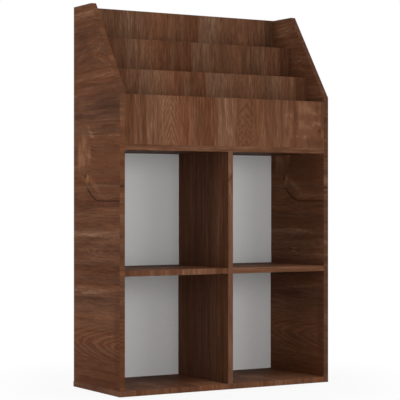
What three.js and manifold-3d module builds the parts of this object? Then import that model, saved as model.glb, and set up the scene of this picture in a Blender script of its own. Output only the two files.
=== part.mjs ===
// Periodical display rack: four open cubbies below, three stepped display pockets above.
// Walnut-faced boards joined by hidden dowels, cam connectors and screws driven up through the base.
// Millimetres, +Z up, the open front faces -Y. The origin is the middle of the base's underside.

import * as THREE from "three";
import { mergeVertices } from "three/addons/utils/BufferGeometryUtils.js";
import Module from "manifold-3d";

// Overall sizes
const WIDTH = 700; // over both sides
const DEPTH = 290; // front edge to rear edge of the base
const HEIGHT = 1102; // floor to the top of the sides

// Board stock
const BOARD = 16; // melamine-faced chipboard
const SHEET = 3; // white-faced hardboard of the two back sheets
const SAW_STEP = 0.25; // every board is cut to a quarter of a millimetre, so neighbours meet face to face

// Cubbies: the upper pair takes up what the rest leaves of the height, the right pair of the width
const LEFT_BAY = 334; // clear width of the left cubbies
const LOWER_BAY = 315; // clear height of the lower cubbies
const SHEET_INSET = 3; // the lower back sheet stops this far inside the sides' outer faces

// Display pockets: the front and middle pockets share the depth that the rear pocket leaves
const POCKET_DEPTH = 138; // from a pocket's floor to the top of the board in front of it
const REAR_POCKET = 74; // clear width of the rear pocket, front to back
const MIDDLE_RISE = 78; // top of the middle riser above the fascia
const REAR_RISE = 96; // top of the rear riser above the middle riser
const BACK_RISE = 94; // top of the upper back above the rear riser
const SLOPE_START = 12; // the sides begin to slope back this far above the fascia
const TOP_FLAT = 112; // level stretch at the top of each side

// Fit between a fastener and its hole
const CLEARANCE = 0.3; // all round
const HOLE_ROOM = 1; // beyond the blind end of a dowel or screw
const FASTENER_SIDES = 12; // facets round a turned fastener

// Wooden dowels, all of one diameter
const DOWEL_RADIUS = 4;
const DOWEL_CHAMFER = 1;
const DOWEL_IN_FACE = 11; // length in the face of the board that is joined
const DOWEL_IN_EDGE = 19; // length in the edge of the board that joins it
const DOWEL_INSET = 60; // dowels and cams from the front and rear edges of shelves and deck
const RISER_DOWEL_DROP = 40; // end dowels below the top of fascia and risers

// Cam connectors: a bolt screwed into one board, hooked by a cam let into the other
const CAM_RADIUS = 7.2;
const CAM_BELOW_AXIS = 4.5; // the cam reaches this far past the bolt's axis
const CAM_RECESS = 0.3; // the cam's face lies this far below the board's face
const CAM_SETBACK = 34; // cam's axis from the end of its board
const CAM_SLOT = { length: 8, width: 1.6, depth: 2 }; // each arm of the driver cross
const BOLT_THREAD = { radius: 3, length: 11 };
const BOLT_COLLAR = { radius: 3.6, length: 2 };
const BOLT_SHANK_RADIUS = 2.5;
const BOLT_HEAD = { radius: 3.4, before: 3.5, after: 1 }; // lengths on either side of the cam's axis
const BOLT_TAPER = 1.2;
const BOLT_HOLE_RADIUS = 4; // drilled in from the end of the board
const BACK_CAM_DROP = 60; // cams below the top of the upper back
const BACK_DOWEL_LIFT = 60; // dowels above the foot of the upper back

// Countersunk screws up through the base
const SCREW_HEAD = { radius: 5, rim: 0.6, cone: 2.4 };
const SCREW_SHANK = { radius: 3.5, length: 13 };
const SCREW_THREAD_RADIUS = 2.9;
const SCREW_TIP = 4;
const SCREW_LENGTH = 50;
const SCREW_RECESS = 0.5; // head below the base's underside
const SCREW_SOCKET = { radius: 2.3, depth: 2.2 }; // six-sided, across the corners
const SCREW_INSET = 40; // from the front and rear edges of the uprights

// A place or a direction.
function at(x, y, z) {
  return new THREE.Vector3(x, y, z);
}

const X = at(1, 0, 0);
const Y = at(0, 1, 0);
const Z = at(0, 0, 1);
const DOWN = at(0, 0, -1);
const ENDS = [["left", -1], ["right", 1]]; // the two ends of a board that runs between the sides

// A size or place as the saw cuts it.
function sawn(size) {
  return Math.round(size / SAW_STEP) * SAW_STEP;
}

// Places of the boards, from left to right
const board = sawn(BOARD);
const sheet = sawn(SHEET);
const outerX = sawn(WIDTH / 2);
const innerX = outerX - board;
const dividerLeft = sawn(LEFT_BAY - innerX);
const dividerRight = dividerLeft + board;
const dividerX = (dividerLeft + dividerRight) / 2;

// Places of the boards, from front to back
const front = sawn(-DEPTH / 2);
const baseRear = sawn(DEPTH / 2);
const sideRear = baseRear - sheet;
const deckRear = sideRear - sheet;
const backFront = sideRear - board;
const rearRiserFront = sawn(backFront - REAR_POCKET) - board;
const middleRiserFront = sawn((front + rearRiserFront) / 2);

// Places of the boards, from the floor up
const top = sawn(HEIGHT);
const rearRiserTop = sawn(top - BACK_RISE);
const middleRiserTop = sawn(rearRiserTop - REAR_RISE);
const fasciaTop = sawn(middleRiserTop - MIDDLE_RISE);
const deckTop = sawn(fasciaTop - POCKET_DEPTH);
const deckBottom = deckTop - board;
const shelfBottom = sawn(board + LOWER_BAY);
const shelfTop = shelfBottom + board;
const shelfZ = (shelfBottom + shelfTop) / 2;

// Materials
const walnut = new THREE.MeshStandardMaterial({ color: 0x6b4836, roughness: 0.55, metalness: 0 });
const whiteFace = new THREE.MeshStandardMaterial({ color: 0xd9d8d5, roughness: 0.6, metalness: 0 });
const beech = new THREE.MeshStandardMaterial({ color: 0xc9a678, roughness: 0.8, metalness: 0 });
const zinc = new THREE.MeshStandardMaterial({ color: 0xb4b6b8, roughness: 0.45, metalness: 1 });
const steel = new THREE.MeshStandardMaterial({ color: 0x9b9c9e, roughness: 0.35, metalness: 1 });

const wasm = await Module();
wasm.setup();

// A geometry as a solid that can be joined and cut.
function solidOf(geometry) {
  const bare = geometry.clone();
  bare.deleteAttribute("normal");
  bare.deleteAttribute("uv");
  const welded = mergeVertices(bare);
  return new wasm.Manifold(new wasm.Mesh({
    numProp: 3,
    vertProperties: welded.attributes.position.array,
    triVerts: Uint32Array.from(welded.index.array),
  }));
}

// A solid as a geometry again, each facet with its own normal.
function geometryOf(solid) {
  const mesh = solid.getMesh();
  const geometry = new THREE.BufferGeometry();
  geometry.setAttribute("position", new THREE.BufferAttribute(mesh.vertProperties, 3));
  geometry.setIndex(new THREE.BufferAttribute(mesh.triVerts, 1));
  const faceted = geometry.toNonIndexed();
  faceted.computeVertexNormals();
  return faceted;
}

// A rectangular board between its two places along each axis.
function slab([x0, x1], [y0, y1], [z0, z1]) {
  const geometry = new THREE.BoxGeometry(x1 - x0, y1 - y0, z1 - z0);
  return geometry.translate((x0 + x1) / 2, (y0 + y1) / 2, (z0 + z1) / 2);
}

// An upright board cut to an outline of [y, z] points, between two places along X.
function upright(outline, [x0, x1]) {
  const shape = new THREE.Shape(outline.map(([y, z]) => new THREE.Vector2(y, z)));
  const geometry = new THREE.ExtrudeGeometry(shape, { depth: x1 - x0, bevelEnabled: false });
  return geometry.applyMatrix4(new THREE.Matrix4().makeBasis(Y, Z, X).setPosition(x0, 0, 0));
}

// A turned piece along +Z, from [radius, height] points that rise from the axis back to the axis.
function turned(outline) {
  const points = outline.map(([radius, height]) => new THREE.Vector2(radius, height));
  return new THREE.LatheGeometry(points, FASTENER_SIDES).rotateX(Math.PI / 2);
}

// A plain round hole along +Z.
function hole(radius, from, to) {
  return turned([[0, from], [radius, from], [radius, to], [0, to]]);
}

const rack = new THREE.Group();
const boards = [];
const bores = [];

// Keeps a board for drilling once all the fasteners are placed.
function addBoard(name, geometry, material = walnut) {
  boards.push({ name, geometry, material });
}

// Adds a named mesh to a group.
function addMesh(group, name, geometry, material) {
  const mesh = new THREE.Mesh(geometry, material);
  mesh.name = name;
  group.add(mesh);
  return mesh;
}

// A group that stands where two boards meet, its Z along the fastener and its Y towards a board's face.
function jointAt(place, along, face) {
  const joint = new THREE.Group();
  const turn = new THREE.Matrix4().makeBasis(face.clone().cross(along), face, along);
  joint.quaternion.setFromRotationMatrix(turn);
  joint.position.copy(place);
  joint.updateMatrix();
  rack.add(joint);
  return joint;
}

// Drills a joint's hole, given in the joint's own frame, through whatever boards it meets.
function drill(joint, geometry) {
  bores.push(solidOf(geometry.applyMatrix4(joint.matrix)));
}

// A dowel along X or Z from one board's face into the edge of the next, with its hole.
function addDowel(name, place, along, inFace = DOWEL_IN_FACE, inEdge = DOWEL_IN_EDGE) {
  const joint = jointAt(place, along, Y);
  const endRadius = DOWEL_RADIUS - DOWEL_CHAMFER;
  addMesh(joint, name, turned([
    [0, -inFace],
    [endRadius, -inFace],
    [DOWEL_RADIUS, DOWEL_CHAMFER - inFace],
    [DOWEL_RADIUS, inEdge - DOWEL_CHAMFER],
    [endRadius, inEdge],
    [0, inEdge],
  ]), beech);
  drill(joint, hole(DOWEL_RADIUS + CLEARANCE, -inFace - HOLE_ROOM, inEdge + HOLE_ROOM));
}

// The outline of a cam bolt, grown by a gap: thread, collar, shank and the head that the cam hooks.
function boltOutline(gap) {
  const headStart = CAM_SETBACK - BOLT_HEAD.before - gap;
  const headEnd = CAM_SETBACK + BOLT_HEAD.after + gap;
  return [
    [0, -BOLT_THREAD.length - gap],
    [BOLT_THREAD.radius - BOLT_TAPER + gap, -BOLT_THREAD.length - gap],
    [BOLT_THREAD.radius + gap, -BOLT_THREAD.length + BOLT_TAPER - gap],
    [BOLT_THREAD.radius + gap, 0],
    [BOLT_COLLAR.radius + gap, 0],
    [BOLT_COLLAR.radius + gap, BOLT_COLLAR.length + gap],
    [BOLT_SHANK_RADIUS + gap, BOLT_COLLAR.length + BOLT_TAPER + gap],
    [BOLT_SHANK_RADIUS + gap, headStart - BOLT_TAPER],
    [BOLT_HEAD.radius + gap, headStart],
    [BOLT_HEAD.radius + gap, headEnd - BOLT_TAPER],
    [BOLT_HEAD.radius - BOLT_TAPER + gap, headEnd],
    [0, headEnd],
  ];
}

// A cam: a round plug let in from the board's face, hollowed for the bolt, with a cross for the driver.
function camGeometry() {
  const faceY = board / 2 - CAM_RECESS;
  const body = hole(CAM_RADIUS, -CAM_BELOW_AXIS, faceY).rotateX(-Math.PI / 2).translate(0, 0, CAM_SETBACK);
  const { length, width, depth } = CAM_SLOT;
  const slotY = [faceY - depth, faceY + depth];
  const arms = [[width, length], [length, width]].map(([alongX, alongZ]) => solidOf(slab(
    [-alongX / 2, alongX / 2],
    slotY,
    [CAM_SETBACK - alongZ / 2, CAM_SETBACK + alongZ / 2],
  )));
  const pocket = solidOf(turned(boltOutline(CLEARANCE)));
  return geometryOf(solidOf(body).subtract(pocket).subtract(arms[0].add(arms[1])));
}

// A cam and its bolt: the bolt screws into the board behind the joint, the cam sits in the board ahead.
function addCamConnector(name, side, place, along, face) {
  const joint = jointAt(place, along, face);
  addMesh(joint, `${name}_cam_bolt_${side}`, turned(boltOutline(0)), steel);
  addMesh(joint, `${name}_cam_${side}`, camGeometry(), zinc);
  const camHole = hole(CAM_RADIUS + CLEARANCE, -CAM_BELOW_AXIS - CLEARANCE, board / 2 + HOLE_ROOM);
  drill(joint, camHole.rotateX(-Math.PI / 2).translate(0, 0, CAM_SETBACK));
  drill(joint, hole(BOLT_HOLE_RADIUS, -CLEARANCE, CAM_SETBACK));
  drill(joint, hole(BOLT_THREAD.radius + CLEARANCE, -BOLT_THREAD.length - HOLE_ROOM, 0));
}

// The outline of a base screw from its head up, grown by a gap.
function screwOutline(gap) {
  const coneTop = SCREW_HEAD.rim + SCREW_HEAD.cone;
  const shankTop = SCREW_RECESS + coneTop + SCREW_SHANK.length;
  return [
    [0, SCREW_RECESS - gap],
    [SCREW_HEAD.radius + gap, SCREW_RECESS - gap],
    [SCREW_HEAD.radius + gap, SCREW_RECESS + SCREW_HEAD.rim],
    [SCREW_SHANK.radius + gap, SCREW_RECESS + coneTop],
    [SCREW_SHANK.radius + gap, shankTop + gap],
    [SCREW_THREAD_RADIUS + gap, shankTop + gap],
    [SCREW_THREAD_RADIUS + gap, SCREW_RECESS + SCREW_LENGTH - SCREW_TIP + gap],
    [0, SCREW_RECESS + SCREW_LENGTH + gap],
  ];
}

// A countersunk screw up through the base into the foot of an upright.
function addBaseScrew(name, x, y) {
  const joint = jointAt(at(x, y, 0), Z, Y);
  const { radius, depth } = SCREW_SOCKET;
  const socket = new THREE.CylinderGeometry(radius, radius, depth * 2, 6);
  socket.rotateX(Math.PI / 2).translate(0, 0, SCREW_RECESS);
  addMesh(joint, name, geometryOf(solidOf(turned(screwOutline(0))).subtract(solidOf(socket))), steel);
  drill(joint, turned(screwOutline(CLEARANCE)));
  drill(joint, hole(SCREW_HEAD.radius + CLEARANCE, -HOLE_ROOM, SCREW_RECESS));
}

// Carcass: the sides stand on the base, and between them run the divider, the half shelves and the deck
function buildCarcass() {
  const slopeZ = fasciaTop + SLOPE_START;
  const sideOutline = [
    [front, board],
    [sideRear, board],
    [sideRear, top],
    [sideRear - TOP_FLAT, top],
    [front, slopeZ],
  ];
  const dividerOutline = [
    [front, board],
    [sideRear, board],
    [sideRear, shelfBottom],
    [deckRear, shelfBottom],
    [deckRear, deckBottom],
    [front, deckBottom],
  ];
  addBoard("base_panel", slab([-outerX, outerX], [front, baseRear], [0, board]));
  addBoard("left_side", upright(sideOutline, [-outerX, -innerX]));
  addBoard("right_side", upright(sideOutline, [innerX, outerX]));
  addBoard("centre_divider", upright(dividerOutline, [dividerLeft, dividerRight]));
  addBoard("left_shelf", slab([-innerX, dividerLeft], [front, deckRear], [shelfBottom, shelfTop]));
  addBoard("right_shelf", slab([dividerRight, innerX], [front, deckRear], [shelfBottom, shelfTop]));
  addBoard("display_deck", slab([-innerX, innerX], [front, deckRear], [deckBottom, deckTop]));

  const uprights = { left: board / 2 - outerX, divider: dividerX, right: outerX - board / 2 };
  for (const [name, x] of Object.entries(uprights)) {
    addBaseScrew(`base_screw_${name}_front`, x, front + SCREW_INSET);
    addBaseScrew(`base_screw_${name}_rear`, x, sideRear - SCREW_INSET);
  }
  const throughHalf = board / 2 + DOWEL_IN_EDGE;
  const dowelRows = { front: front + DOWEL_INSET, rear: deckRear - DOWEL_INSET };
  for (const [row, y] of Object.entries(dowelRows)) {
    addDowel(`divider_through_dowel_${row}`, at(dividerX, y, shelfZ), X, throughHalf, throughHalf);
    addDowel(`divider_top_dowel_${row}`, at(dividerX, y, deckBottom), DOWN);
    for (const [side, sign] of ENDS) {
      addDowel(`${side}_shelf_dowel_${row}`, at(sign * innerX, y, shelfZ), at(-sign, 0, 0));
    }
  }
  const deckZ = (deckBottom + deckTop) / 2;
  for (const [side, sign] of ENDS) {
    const inward = at(-sign, 0, 0);
    addDowel(`deck_dowel_${side}`, at(sign * innerX, dowelRows.rear, deckZ), inward);
    addCamConnector("deck", side, at(sign * innerX, dowelRows.front, deckZ), inward, DOWN);
  }
}

// One board of the display across the rack, with a dowel at each end and one in the middle of its foot.
function addRiser(name, riserFront, riserTop) {
  const y = riserFront + board / 2;
  addBoard(name, slab([-innerX, innerX], [riserFront, riserFront + board], [deckTop, riserTop]));
  addDowel(`${name}_dowel_foot`, at(0, y, deckTop), Z);
  for (const [side, sign] of ENDS) {
    addDowel(`${name}_dowel_${side}`, at(sign * innerX, y, riserTop - RISER_DOWEL_DROP), at(-sign, 0, 0));
  }
}

// A raised pocket floor between two risers, with a pair of dowels at each end.
function addPocketFloor(name, floorFront, floorRear, frontBoardTop) {
  const floorTop = frontBoardTop - POCKET_DEPTH;
  const floorZ = floorTop - board / 2;
  const quarter = (floorRear - floorFront) / 4;
  addBoard(name, slab([-innerX, innerX], [floorFront, floorRear], [floorTop - board, floorTop]));
  for (const [row, y] of [["front", floorFront + quarter], ["rear", floorRear - quarter]]) {
    for (const [side, sign] of ENDS) {
      addDowel(`${name}_dowel_${side}_${row}`, at(sign * innerX, y, floorZ), at(-sign, 0, 0));
    }
  }
}

// Display: fascia, two risers and the upper back stand on the deck, with raised floors behind the risers
function buildDisplay() {
  addRiser("front_fascia", front, fasciaTop);
  addRiser("middle_riser", middleRiserFront, middleRiserTop);
  addRiser("rear_riser", rearRiserFront, rearRiserTop);
  addPocketFloor("middle_pocket_floor", middleRiserFront + board, rearRiserFront, middleRiserTop);
  addPocketFloor("rear_pocket_floor", rearRiserFront + board, backFront, rearRiserTop);
  addBoard("upper_back", slab([-innerX, innerX], [backFront, sideRear], [deckTop, top]));

  const backY = (backFront + sideRear) / 2;
  for (const [side, sign] of ENDS) {
    const inward = at(-sign, 0, 0);
    addDowel(`upper_back_dowel_${side}`, at(sign * innerX, backY, deckTop + BACK_DOWEL_LIFT), inward);
    addCamConnector("upper_back", side, at(sign * innerX, backY, top - BACK_CAM_DROP), inward, Y);
  }
}

// Back sheets: the upper one lies between the sides, the lower one covers their rear edges and laps it
function buildBackSheets() {
  const lowerX = sawn(outerX - SHEET_INSET);
  const upper = slab([-innerX, innerX], [deckRear, sideRear], [shelfBottom, deckTop]);
  const lower = slab([-lowerX, lowerX], [sideRear, baseRear], [board, shelfTop]);
  addBoard("upper_back_sheet", upper, whiteFace);
  addBoard("lower_back_sheet", lower, whiteFace);
}

// Drills each board and sets it in the rack, with its own origin at its middle.
function drillBoards() {
  const drilling = bores.reduce((all, bore) => all.add(bore));
  for (const { name, geometry, material } of boards) {
    const drilled = geometryOf(solidOf(geometry).subtract(drilling));
    drilled.computeBoundingBox();
    const middle = drilled.boundingBox.getCenter(new THREE.Vector3());
    drilled.translate(-middle.x, -middle.y, -middle.z);
    addMesh(rack, name, drilled, material).position.copy(middle);
  }
}

buildCarcass();
buildDisplay();
buildBackSheets();
drillBoards();

export default rack;
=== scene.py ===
"""Looks of a periodical display rack: walnut melamine boards, white back sheets and hidden joinery.

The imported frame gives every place. Sizes written here are in millimetres and colours in sRGB hex.
Front is -Y, up is +Z, and Blender works in metres.
"""

import logging
import math
from dataclasses import dataclass, field, replace
from enum import Enum
from functools import partial
from typing import Callable, Iterable, Sequence

import bmesh
import bpy
from mathutils import Matrix, Vector


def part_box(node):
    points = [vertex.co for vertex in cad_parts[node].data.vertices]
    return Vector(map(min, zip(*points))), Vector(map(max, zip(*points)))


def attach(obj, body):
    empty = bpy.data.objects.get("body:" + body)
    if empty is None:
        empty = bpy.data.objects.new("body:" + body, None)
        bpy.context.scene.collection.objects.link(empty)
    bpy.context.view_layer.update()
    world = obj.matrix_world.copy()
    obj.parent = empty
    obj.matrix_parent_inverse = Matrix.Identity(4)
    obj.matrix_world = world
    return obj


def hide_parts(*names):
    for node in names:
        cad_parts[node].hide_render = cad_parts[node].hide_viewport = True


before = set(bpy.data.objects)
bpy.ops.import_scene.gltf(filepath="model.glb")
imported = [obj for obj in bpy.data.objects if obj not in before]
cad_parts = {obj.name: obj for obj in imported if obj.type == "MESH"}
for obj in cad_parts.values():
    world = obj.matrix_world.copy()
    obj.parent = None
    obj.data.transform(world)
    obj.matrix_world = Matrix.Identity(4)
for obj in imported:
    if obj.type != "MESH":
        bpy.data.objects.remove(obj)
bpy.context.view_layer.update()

LOG = logging.getLogger("display_rack")
MM = 0.001
BODY = "root"
PRINT = "print_mm"  # attribute: where a point lies on the walnut print, in mm across, along and through

Ring = tuple[float, Callable[[float], float]]  # a turned piece's height, and its radius at an angle, in mm


class Axis(Enum):
    """A direction of the rack, by its place in a vector."""

    X = 0
    Y = 1
    Z = 2


class Facing(Enum):
    """The way that an edge of a board faces."""

    LEFT = (-1, 0, 0)
    RIGHT = (1, 0, 0)
    FRONT = (0, -1, 0)
    REAR = (0, 1, 0)
    DOWN = (0, 0, -1)
    UP = (0, 0, 1)


def linear(colour: str) -> tuple[float, float, float, float]:
    """Turns an sRGB hex colour into the linear colour that Blender's sockets take.

    Args:
        colour: Six hex digits after a hash sign.

    Returns:
        Red, green, blue and an alpha of 1.
    """
    channels = [int(colour[start:start + 2], 16) / 255 for start in (1, 3, 5)]
    red, green, blue = (c / 12.92 if c <= 0.04045 else ((c + 0.055) / 1.055) ** 2.4 for c in channels)
    return red, green, blue, 1.0


def add_node(tree: bpy.types.NodeTree, kind: str, inputs: dict | None = None,
             stops: Sequence[tuple[float, str | float]] = (), **settings: object) -> bpy.types.Node:
    """Adds a node with its settings, its inputs and, on a ramp, its stops.

    Args:
        tree: The node tree that gets the node.
        kind: Blender's name for the kind of node.
        inputs: Values, sockets or nodes by the input's name or number. A node gives its first live output.
        stops: A ramp's stops as places from 0 to 1, each with a hex colour or a grey level.
        **settings: Properties of the node.

    Returns:
        The new node.
    """
    node = tree.nodes.new(kind)
    for name, value in settings.items():
        setattr(node, name, value)
    for number, (place, tone) in enumerate(stops):
        elements = node.color_ramp.elements
        element = elements[number] if number < len(elements) else elements.new(place)
        element.position = place
        element.color = linear(tone) if isinstance(tone, str) else (tone, tone, tone, 1.0)
    for key, value in (inputs or {}).items():
        named = (s for s in node.inputs if s.enabled and s.name == key)
        socket = node.inputs[key] if isinstance(key, int) else next(named)
        if isinstance(value, bpy.types.Node):
            value = next(s for s in value.outputs if s.enabled)
        if isinstance(value, bpy.types.NodeSocket):
            tree.links.new(value, socket)
        else:
            socket.default_value = value
    return node


@dataclass(frozen=True)
class Finish:
    """One procedural material, made when the first piece asks for it.

    Attributes:
        name: The material's name, for what the real one is.
        slot: The record's material slot for this finish. It is not used.
    """

    name: str
    slot: str

    def material(self) -> bpy.types.Material:
        """Returns the Blender material, made on the first call."""
        made = bpy.data.materials.get(self.name)
        if made is None:
            made = bpy.data.materials.new(self.name)
            made.use_nodes = True
            self.dress(made.node_tree, made.node_tree.nodes["Principled BSDF"])
        return made

    def dress(self, tree: bpy.types.NodeTree, shader: bpy.types.Node) -> None:
        """Adds the finish's own nodes; each finish has its own."""
        raise NotImplementedError


@dataclass(frozen=True)
class Heart:
    """A cathedral in the print: growth rings round a pith that slants out of the face.

    Attributes:
        across: Where the peaks line up, in mm across the print.
        foot: Where the pith meets the face, in mm along the print.
        slant: How far the pith lies behind the face for each mm along the print.
        pitch: Width of a growth ring in mm.
        reach: How far to either side the peaks go, in mm.
        sharpness: How pointed the peaks are, from 1, pointed, to 2, round.
        jag: How far the fibres tear the peaks up and down, in mm.
        contrast: How much lighter its thin rings are, or how much darker where this is below 0.
        hide: How much of the straight lines it hides.
    """

    across: float
    foot: float
    slant: float
    pitch: float
    reach: float
    sharpness: float = 1.4
    jag: float = 16.0
    contrast: float = 0.15
    hide: float = 0.6


@dataclass(frozen=True)
class Knot:
    """A knot in the print, which pushes the grain aside.

    Attributes:
        across: Its middle across the print, in mm.
        along: Its middle along the print, in mm.
        reach_across: How far it bends the grain to either side, in mm.
        reach_along: How far it bends the grain before and behind, in mm.
        push: How far it moves the grain at its middle, in mm.
        core: Radius of its dark core in mm, or 0 for none.
    """

    across: float
    along: float
    reach_across: float
    reach_along: float
    push: float
    core: float = 0.0


@dataclass(frozen=True)
class Blaze:
    """A lighter or darker patch in the print, plain or broken into curly blotches.

    Attributes:
        across: Its middle across the print, in mm.
        along: Its middle along the print, in mm.
        reach_across: How far it goes to either side, in mm.
        reach_along: How far it goes before and behind, in mm.
        tone: How much lighter it is, or how much darker where this is below 0.
        curl: Width across and length along of its blotches in mm, or None for a plain patch.
        tilt: How far it leans across the print for each mm along it.
        calm: How much of the lines along the grain it hides.
    """

    across: float
    along: float
    reach_across: float
    reach_along: float
    tone: float
    curl: tuple[float, float] | None = None
    tilt: float = 0.0
    calm: float = 0.0


@dataclass(frozen=True)
class DryingCrack:
    """A dark drying crack in the print, which starts at a knot and runs out along the grain.

    Attributes:
        level: Where it runs straight, in mm across the print.
        rise: How much further across it starts, in mm.
        start: Where it starts, in mm along the print.
        straight: Where it becomes straight, in mm along the print.
        width: Its width in mm.
    """

    level: float
    rise: float
    start: float
    straight: float
    width: float


@dataclass(frozen=True)
class Grain:
    """One layer of lines along the grain.

    Attributes:
        width: Width of its lines in mm.
        length: Length of its lines in mm.
        weight: How much it lightens and darkens the print.
    """

    width: float
    length: float
    weight: float


@dataclass(frozen=True)
class Figure:
    """What one repeat of the walnut print shows, in mm.

    Attributes:
        strips: Places across the print, each with its tone from 0, dark, to 1, light, and its hue from 0,
            violet, to 1, orange.
        hearts: Cathedrals.
        knots: Knots.
        blazes: Lighter and darker patches.
        cracks: Drying cracks.
        ripple: How far the fine ripple of the grain moves it, in mm.
    """

    strips: tuple[tuple[float, float, float], ...] = ((0.0, 0.5, 0.5), (100.0, 0.5, 0.5))
    hearts: tuple[Heart, ...] = ()
    knots: tuple[Knot, ...] = ()
    blazes: tuple[Blaze, ...] = ()
    cracks: tuple[DryingCrack, ...] = ()
    ripple: float = 3.0


@dataclass(frozen=True)
class WalnutMelamine(Finish):
    """Walnut print under a matt melamine skin, pressed onto chipboard.

    The eye sees a printed figure in warm browns, short dark pores, and hardly any gloss.

    Attributes:
        figure: What the print shows.
        tones: The print's colours from dark to light.
        hues: Tints from violet over none to orange, which multiply the colour.
        pore_colour: Colour at the bottom of a pore.
        crack_colour: Colour of knots and drying cracks.
        drift: Size across, size along and push of the slow wander of the grain, in mm.
        ripple: Size across and along of the fine ripple of the grain, in mm.
        grain: Layers of lines along the grain, from broad bands to single fibres. The fibres are drawn
            coarser than real ones so that they show.
        strip_weight: How much the strips' tones count.
        lift: How much lighter this sheet is than the others, or how much darker where this is below 0.
        hue_drift: Width of the strips that drift in hue by chance, in mm, and how far they drift.
        fray: Size of the wisps that patches fray into, and how far these reach, in mm.
        fibre: Width and length of the fibres that tear the peaks of a cathedral, in mm.
        pores: Width across and length along of a pore, in mm; real ones are a third as wide.
    """

    figure: Figure = Figure()
    tones: tuple[tuple[float, str], ...] = (
        (0.0, "#3a2215"), (0.3, "#5a3926"), (0.5, "#6d4732"), (0.7, "#855c44"), (1.0, "#b28a70"))
    hues: tuple[tuple[float, str], ...] = ((0.0, "#d8d4e2"), (0.5, "#fffcf7"), (1.0, "#ffe2c6"))
    pore_colour: str = "#3a2418"
    crack_colour: str = "#3c2214"
    drift: tuple[float, float, float] = (120.0, 520.0, 14.0)
    ripple: tuple[float, float] = (22.0, 90.0)
    grain: tuple[Grain, ...] = (
        Grain(45.0, 700.0, 0.4), Grain(13.0, 300.0, 0.4), Grain(4.8, 120.0, 0.44), Grain(2.4, 40.0, 0.32))
    strip_weight: float = 0.8
    lift: float = 0.0
    hue_drift: tuple[float, float] = (22.0, 0.7)
    fray: tuple[float, float] = (18.0, 3.0)
    fibre: tuple[float, float] = (7.0, 45.0)
    pores: tuple[float, float] = (1.5, 26.0)

    def dress(self, tree: bpy.types.NodeTree, shader: bpy.types.Node) -> None:
        """Draws the print from its grain, figure and pores, and gives it the skin's dull sheen.

        Args:
            tree: The material's node tree.
            shader: Its shader.
        """
        make = partial(add_node, tree)
        place = make("ShaderNodeAttribute", attribute_name=PRINT).outputs["Vector"]
        axes = make("ShaderNodeSeparateXYZ", {"Vector": place})
        along = axes.outputs["Y"]
        wavy = self.ripple_grain(make, place, axes.outputs["X"])
        bent = self.part_round_knots(make, place, wavy)
        lie = make("ShaderNodeCombineXYZ", {"X": bent, "Y": along, "Z": axes.outputs["Z"]})
        lines = -sum(layer.weight for layer in self.grain) / 2
        for layer in self.grain:
            scale = (1 / layer.width, 1 / layer.length, 1 / layer.length)
            stretched = make("ShaderNodeVectorMath", {0: lie, 1: scale}, operation="MULTIPLY")
            noise = make("ShaderNodeTexNoise", {"Vector": stretched, "Scale": 1.0, "Detail": 1.0})
            lines = make("ShaderNodeMath", {0: noise, 1: layer.weight, 2: lines}, operation="MULTIPLY_ADD")
        lines = self.raise_peaks(make, place, bent, along, lines)
        strip_tone, strip_hue = self.lay_strips(make, bent)
        ground = make("ShaderNodeMath", {
            0: strip_tone, 1: self.strip_weight, 2: 0.5 - self.strip_weight / 2 + self.lift},
            operation="MULTIPLY_ADD")
        tone = self.blaze(make, wavy, along, ground, lines)
        colour = make("ShaderNodeValToRGB", {"Fac": tone}, stops=self.tones)
        tint = make("ShaderNodeValToRGB", {"Fac": strip_hue}, stops=self.hues)
        tinted = make("ShaderNodeMix", {"Factor": 1.0, "A": colour, "B": tint}, data_type="RGBA", blend_type="MULTIPLY")
        wide, long = self.pores
        stretched = make("ShaderNodeVectorMath", {0: place, 1: (1 / wide, 1 / long, 1 / wide)}, operation="MULTIPLY")
        speckle = make("ShaderNodeTexNoise", {"Vector": stretched, "Scale": 1.0, "Detail": 1.0})
        pores = make("ShaderNodeMapRange", {"Value": speckle, "From Min": 0.56, "From Max": 0.72, "To Max": 0.4})
        pored = make("ShaderNodeMix", {
            "Factor": pores, "A": tinted, "B": linear(self.pore_colour)}, data_type="RGBA")
        marked = self.mark(make, place, axes, pored)
        relief = make("ShaderNodeBump", {"Strength": 0.25, "Distance": 0.1 * MM, "Height": pores}, invert=True)
        tree.links.new(next(s for s in marked.outputs if s.enabled), shader.inputs["Base Color"])
        tree.links.new(relief.outputs[0], shader.inputs["Normal"])
        shader.inputs["Roughness"].default_value = 0.55
        shader.inputs["Specular IOR Level"].default_value = 0.03

    def ripple_grain(self, make: Callable[..., bpy.types.Node], place: bpy.types.NodeSocket,
                     across: bpy.types.NodeSocket) -> bpy.types.Node:
        """Lets the grain wander slowly and ripple finely.

        Args:
            make: Adds a node to the material.
            place: The point on the print.
            across: Its place across the print.

        Returns:
            The place across the print that the wavy grain comes from.
        """
        wide, long, push = self.drift
        for (size, length), shove in (((wide, long), push), (self.ripple, self.figure.ripple)):
            stretched = make("ShaderNodeVectorMath", {
                0: place, 1: (1 / size, 1 / length, 1 / length)}, operation="MULTIPLY")
            noise = make("ShaderNodeTexNoise", {"Vector": stretched, "Scale": 1.0, "Detail": 2.0})
            bend = make("ShaderNodeMapRange", {"Value": noise, "To Min": -shove, "To Max": shove})
            across = make("ShaderNodeMath", {0: across, 1: bend}, operation="ADD")
        return across

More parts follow.
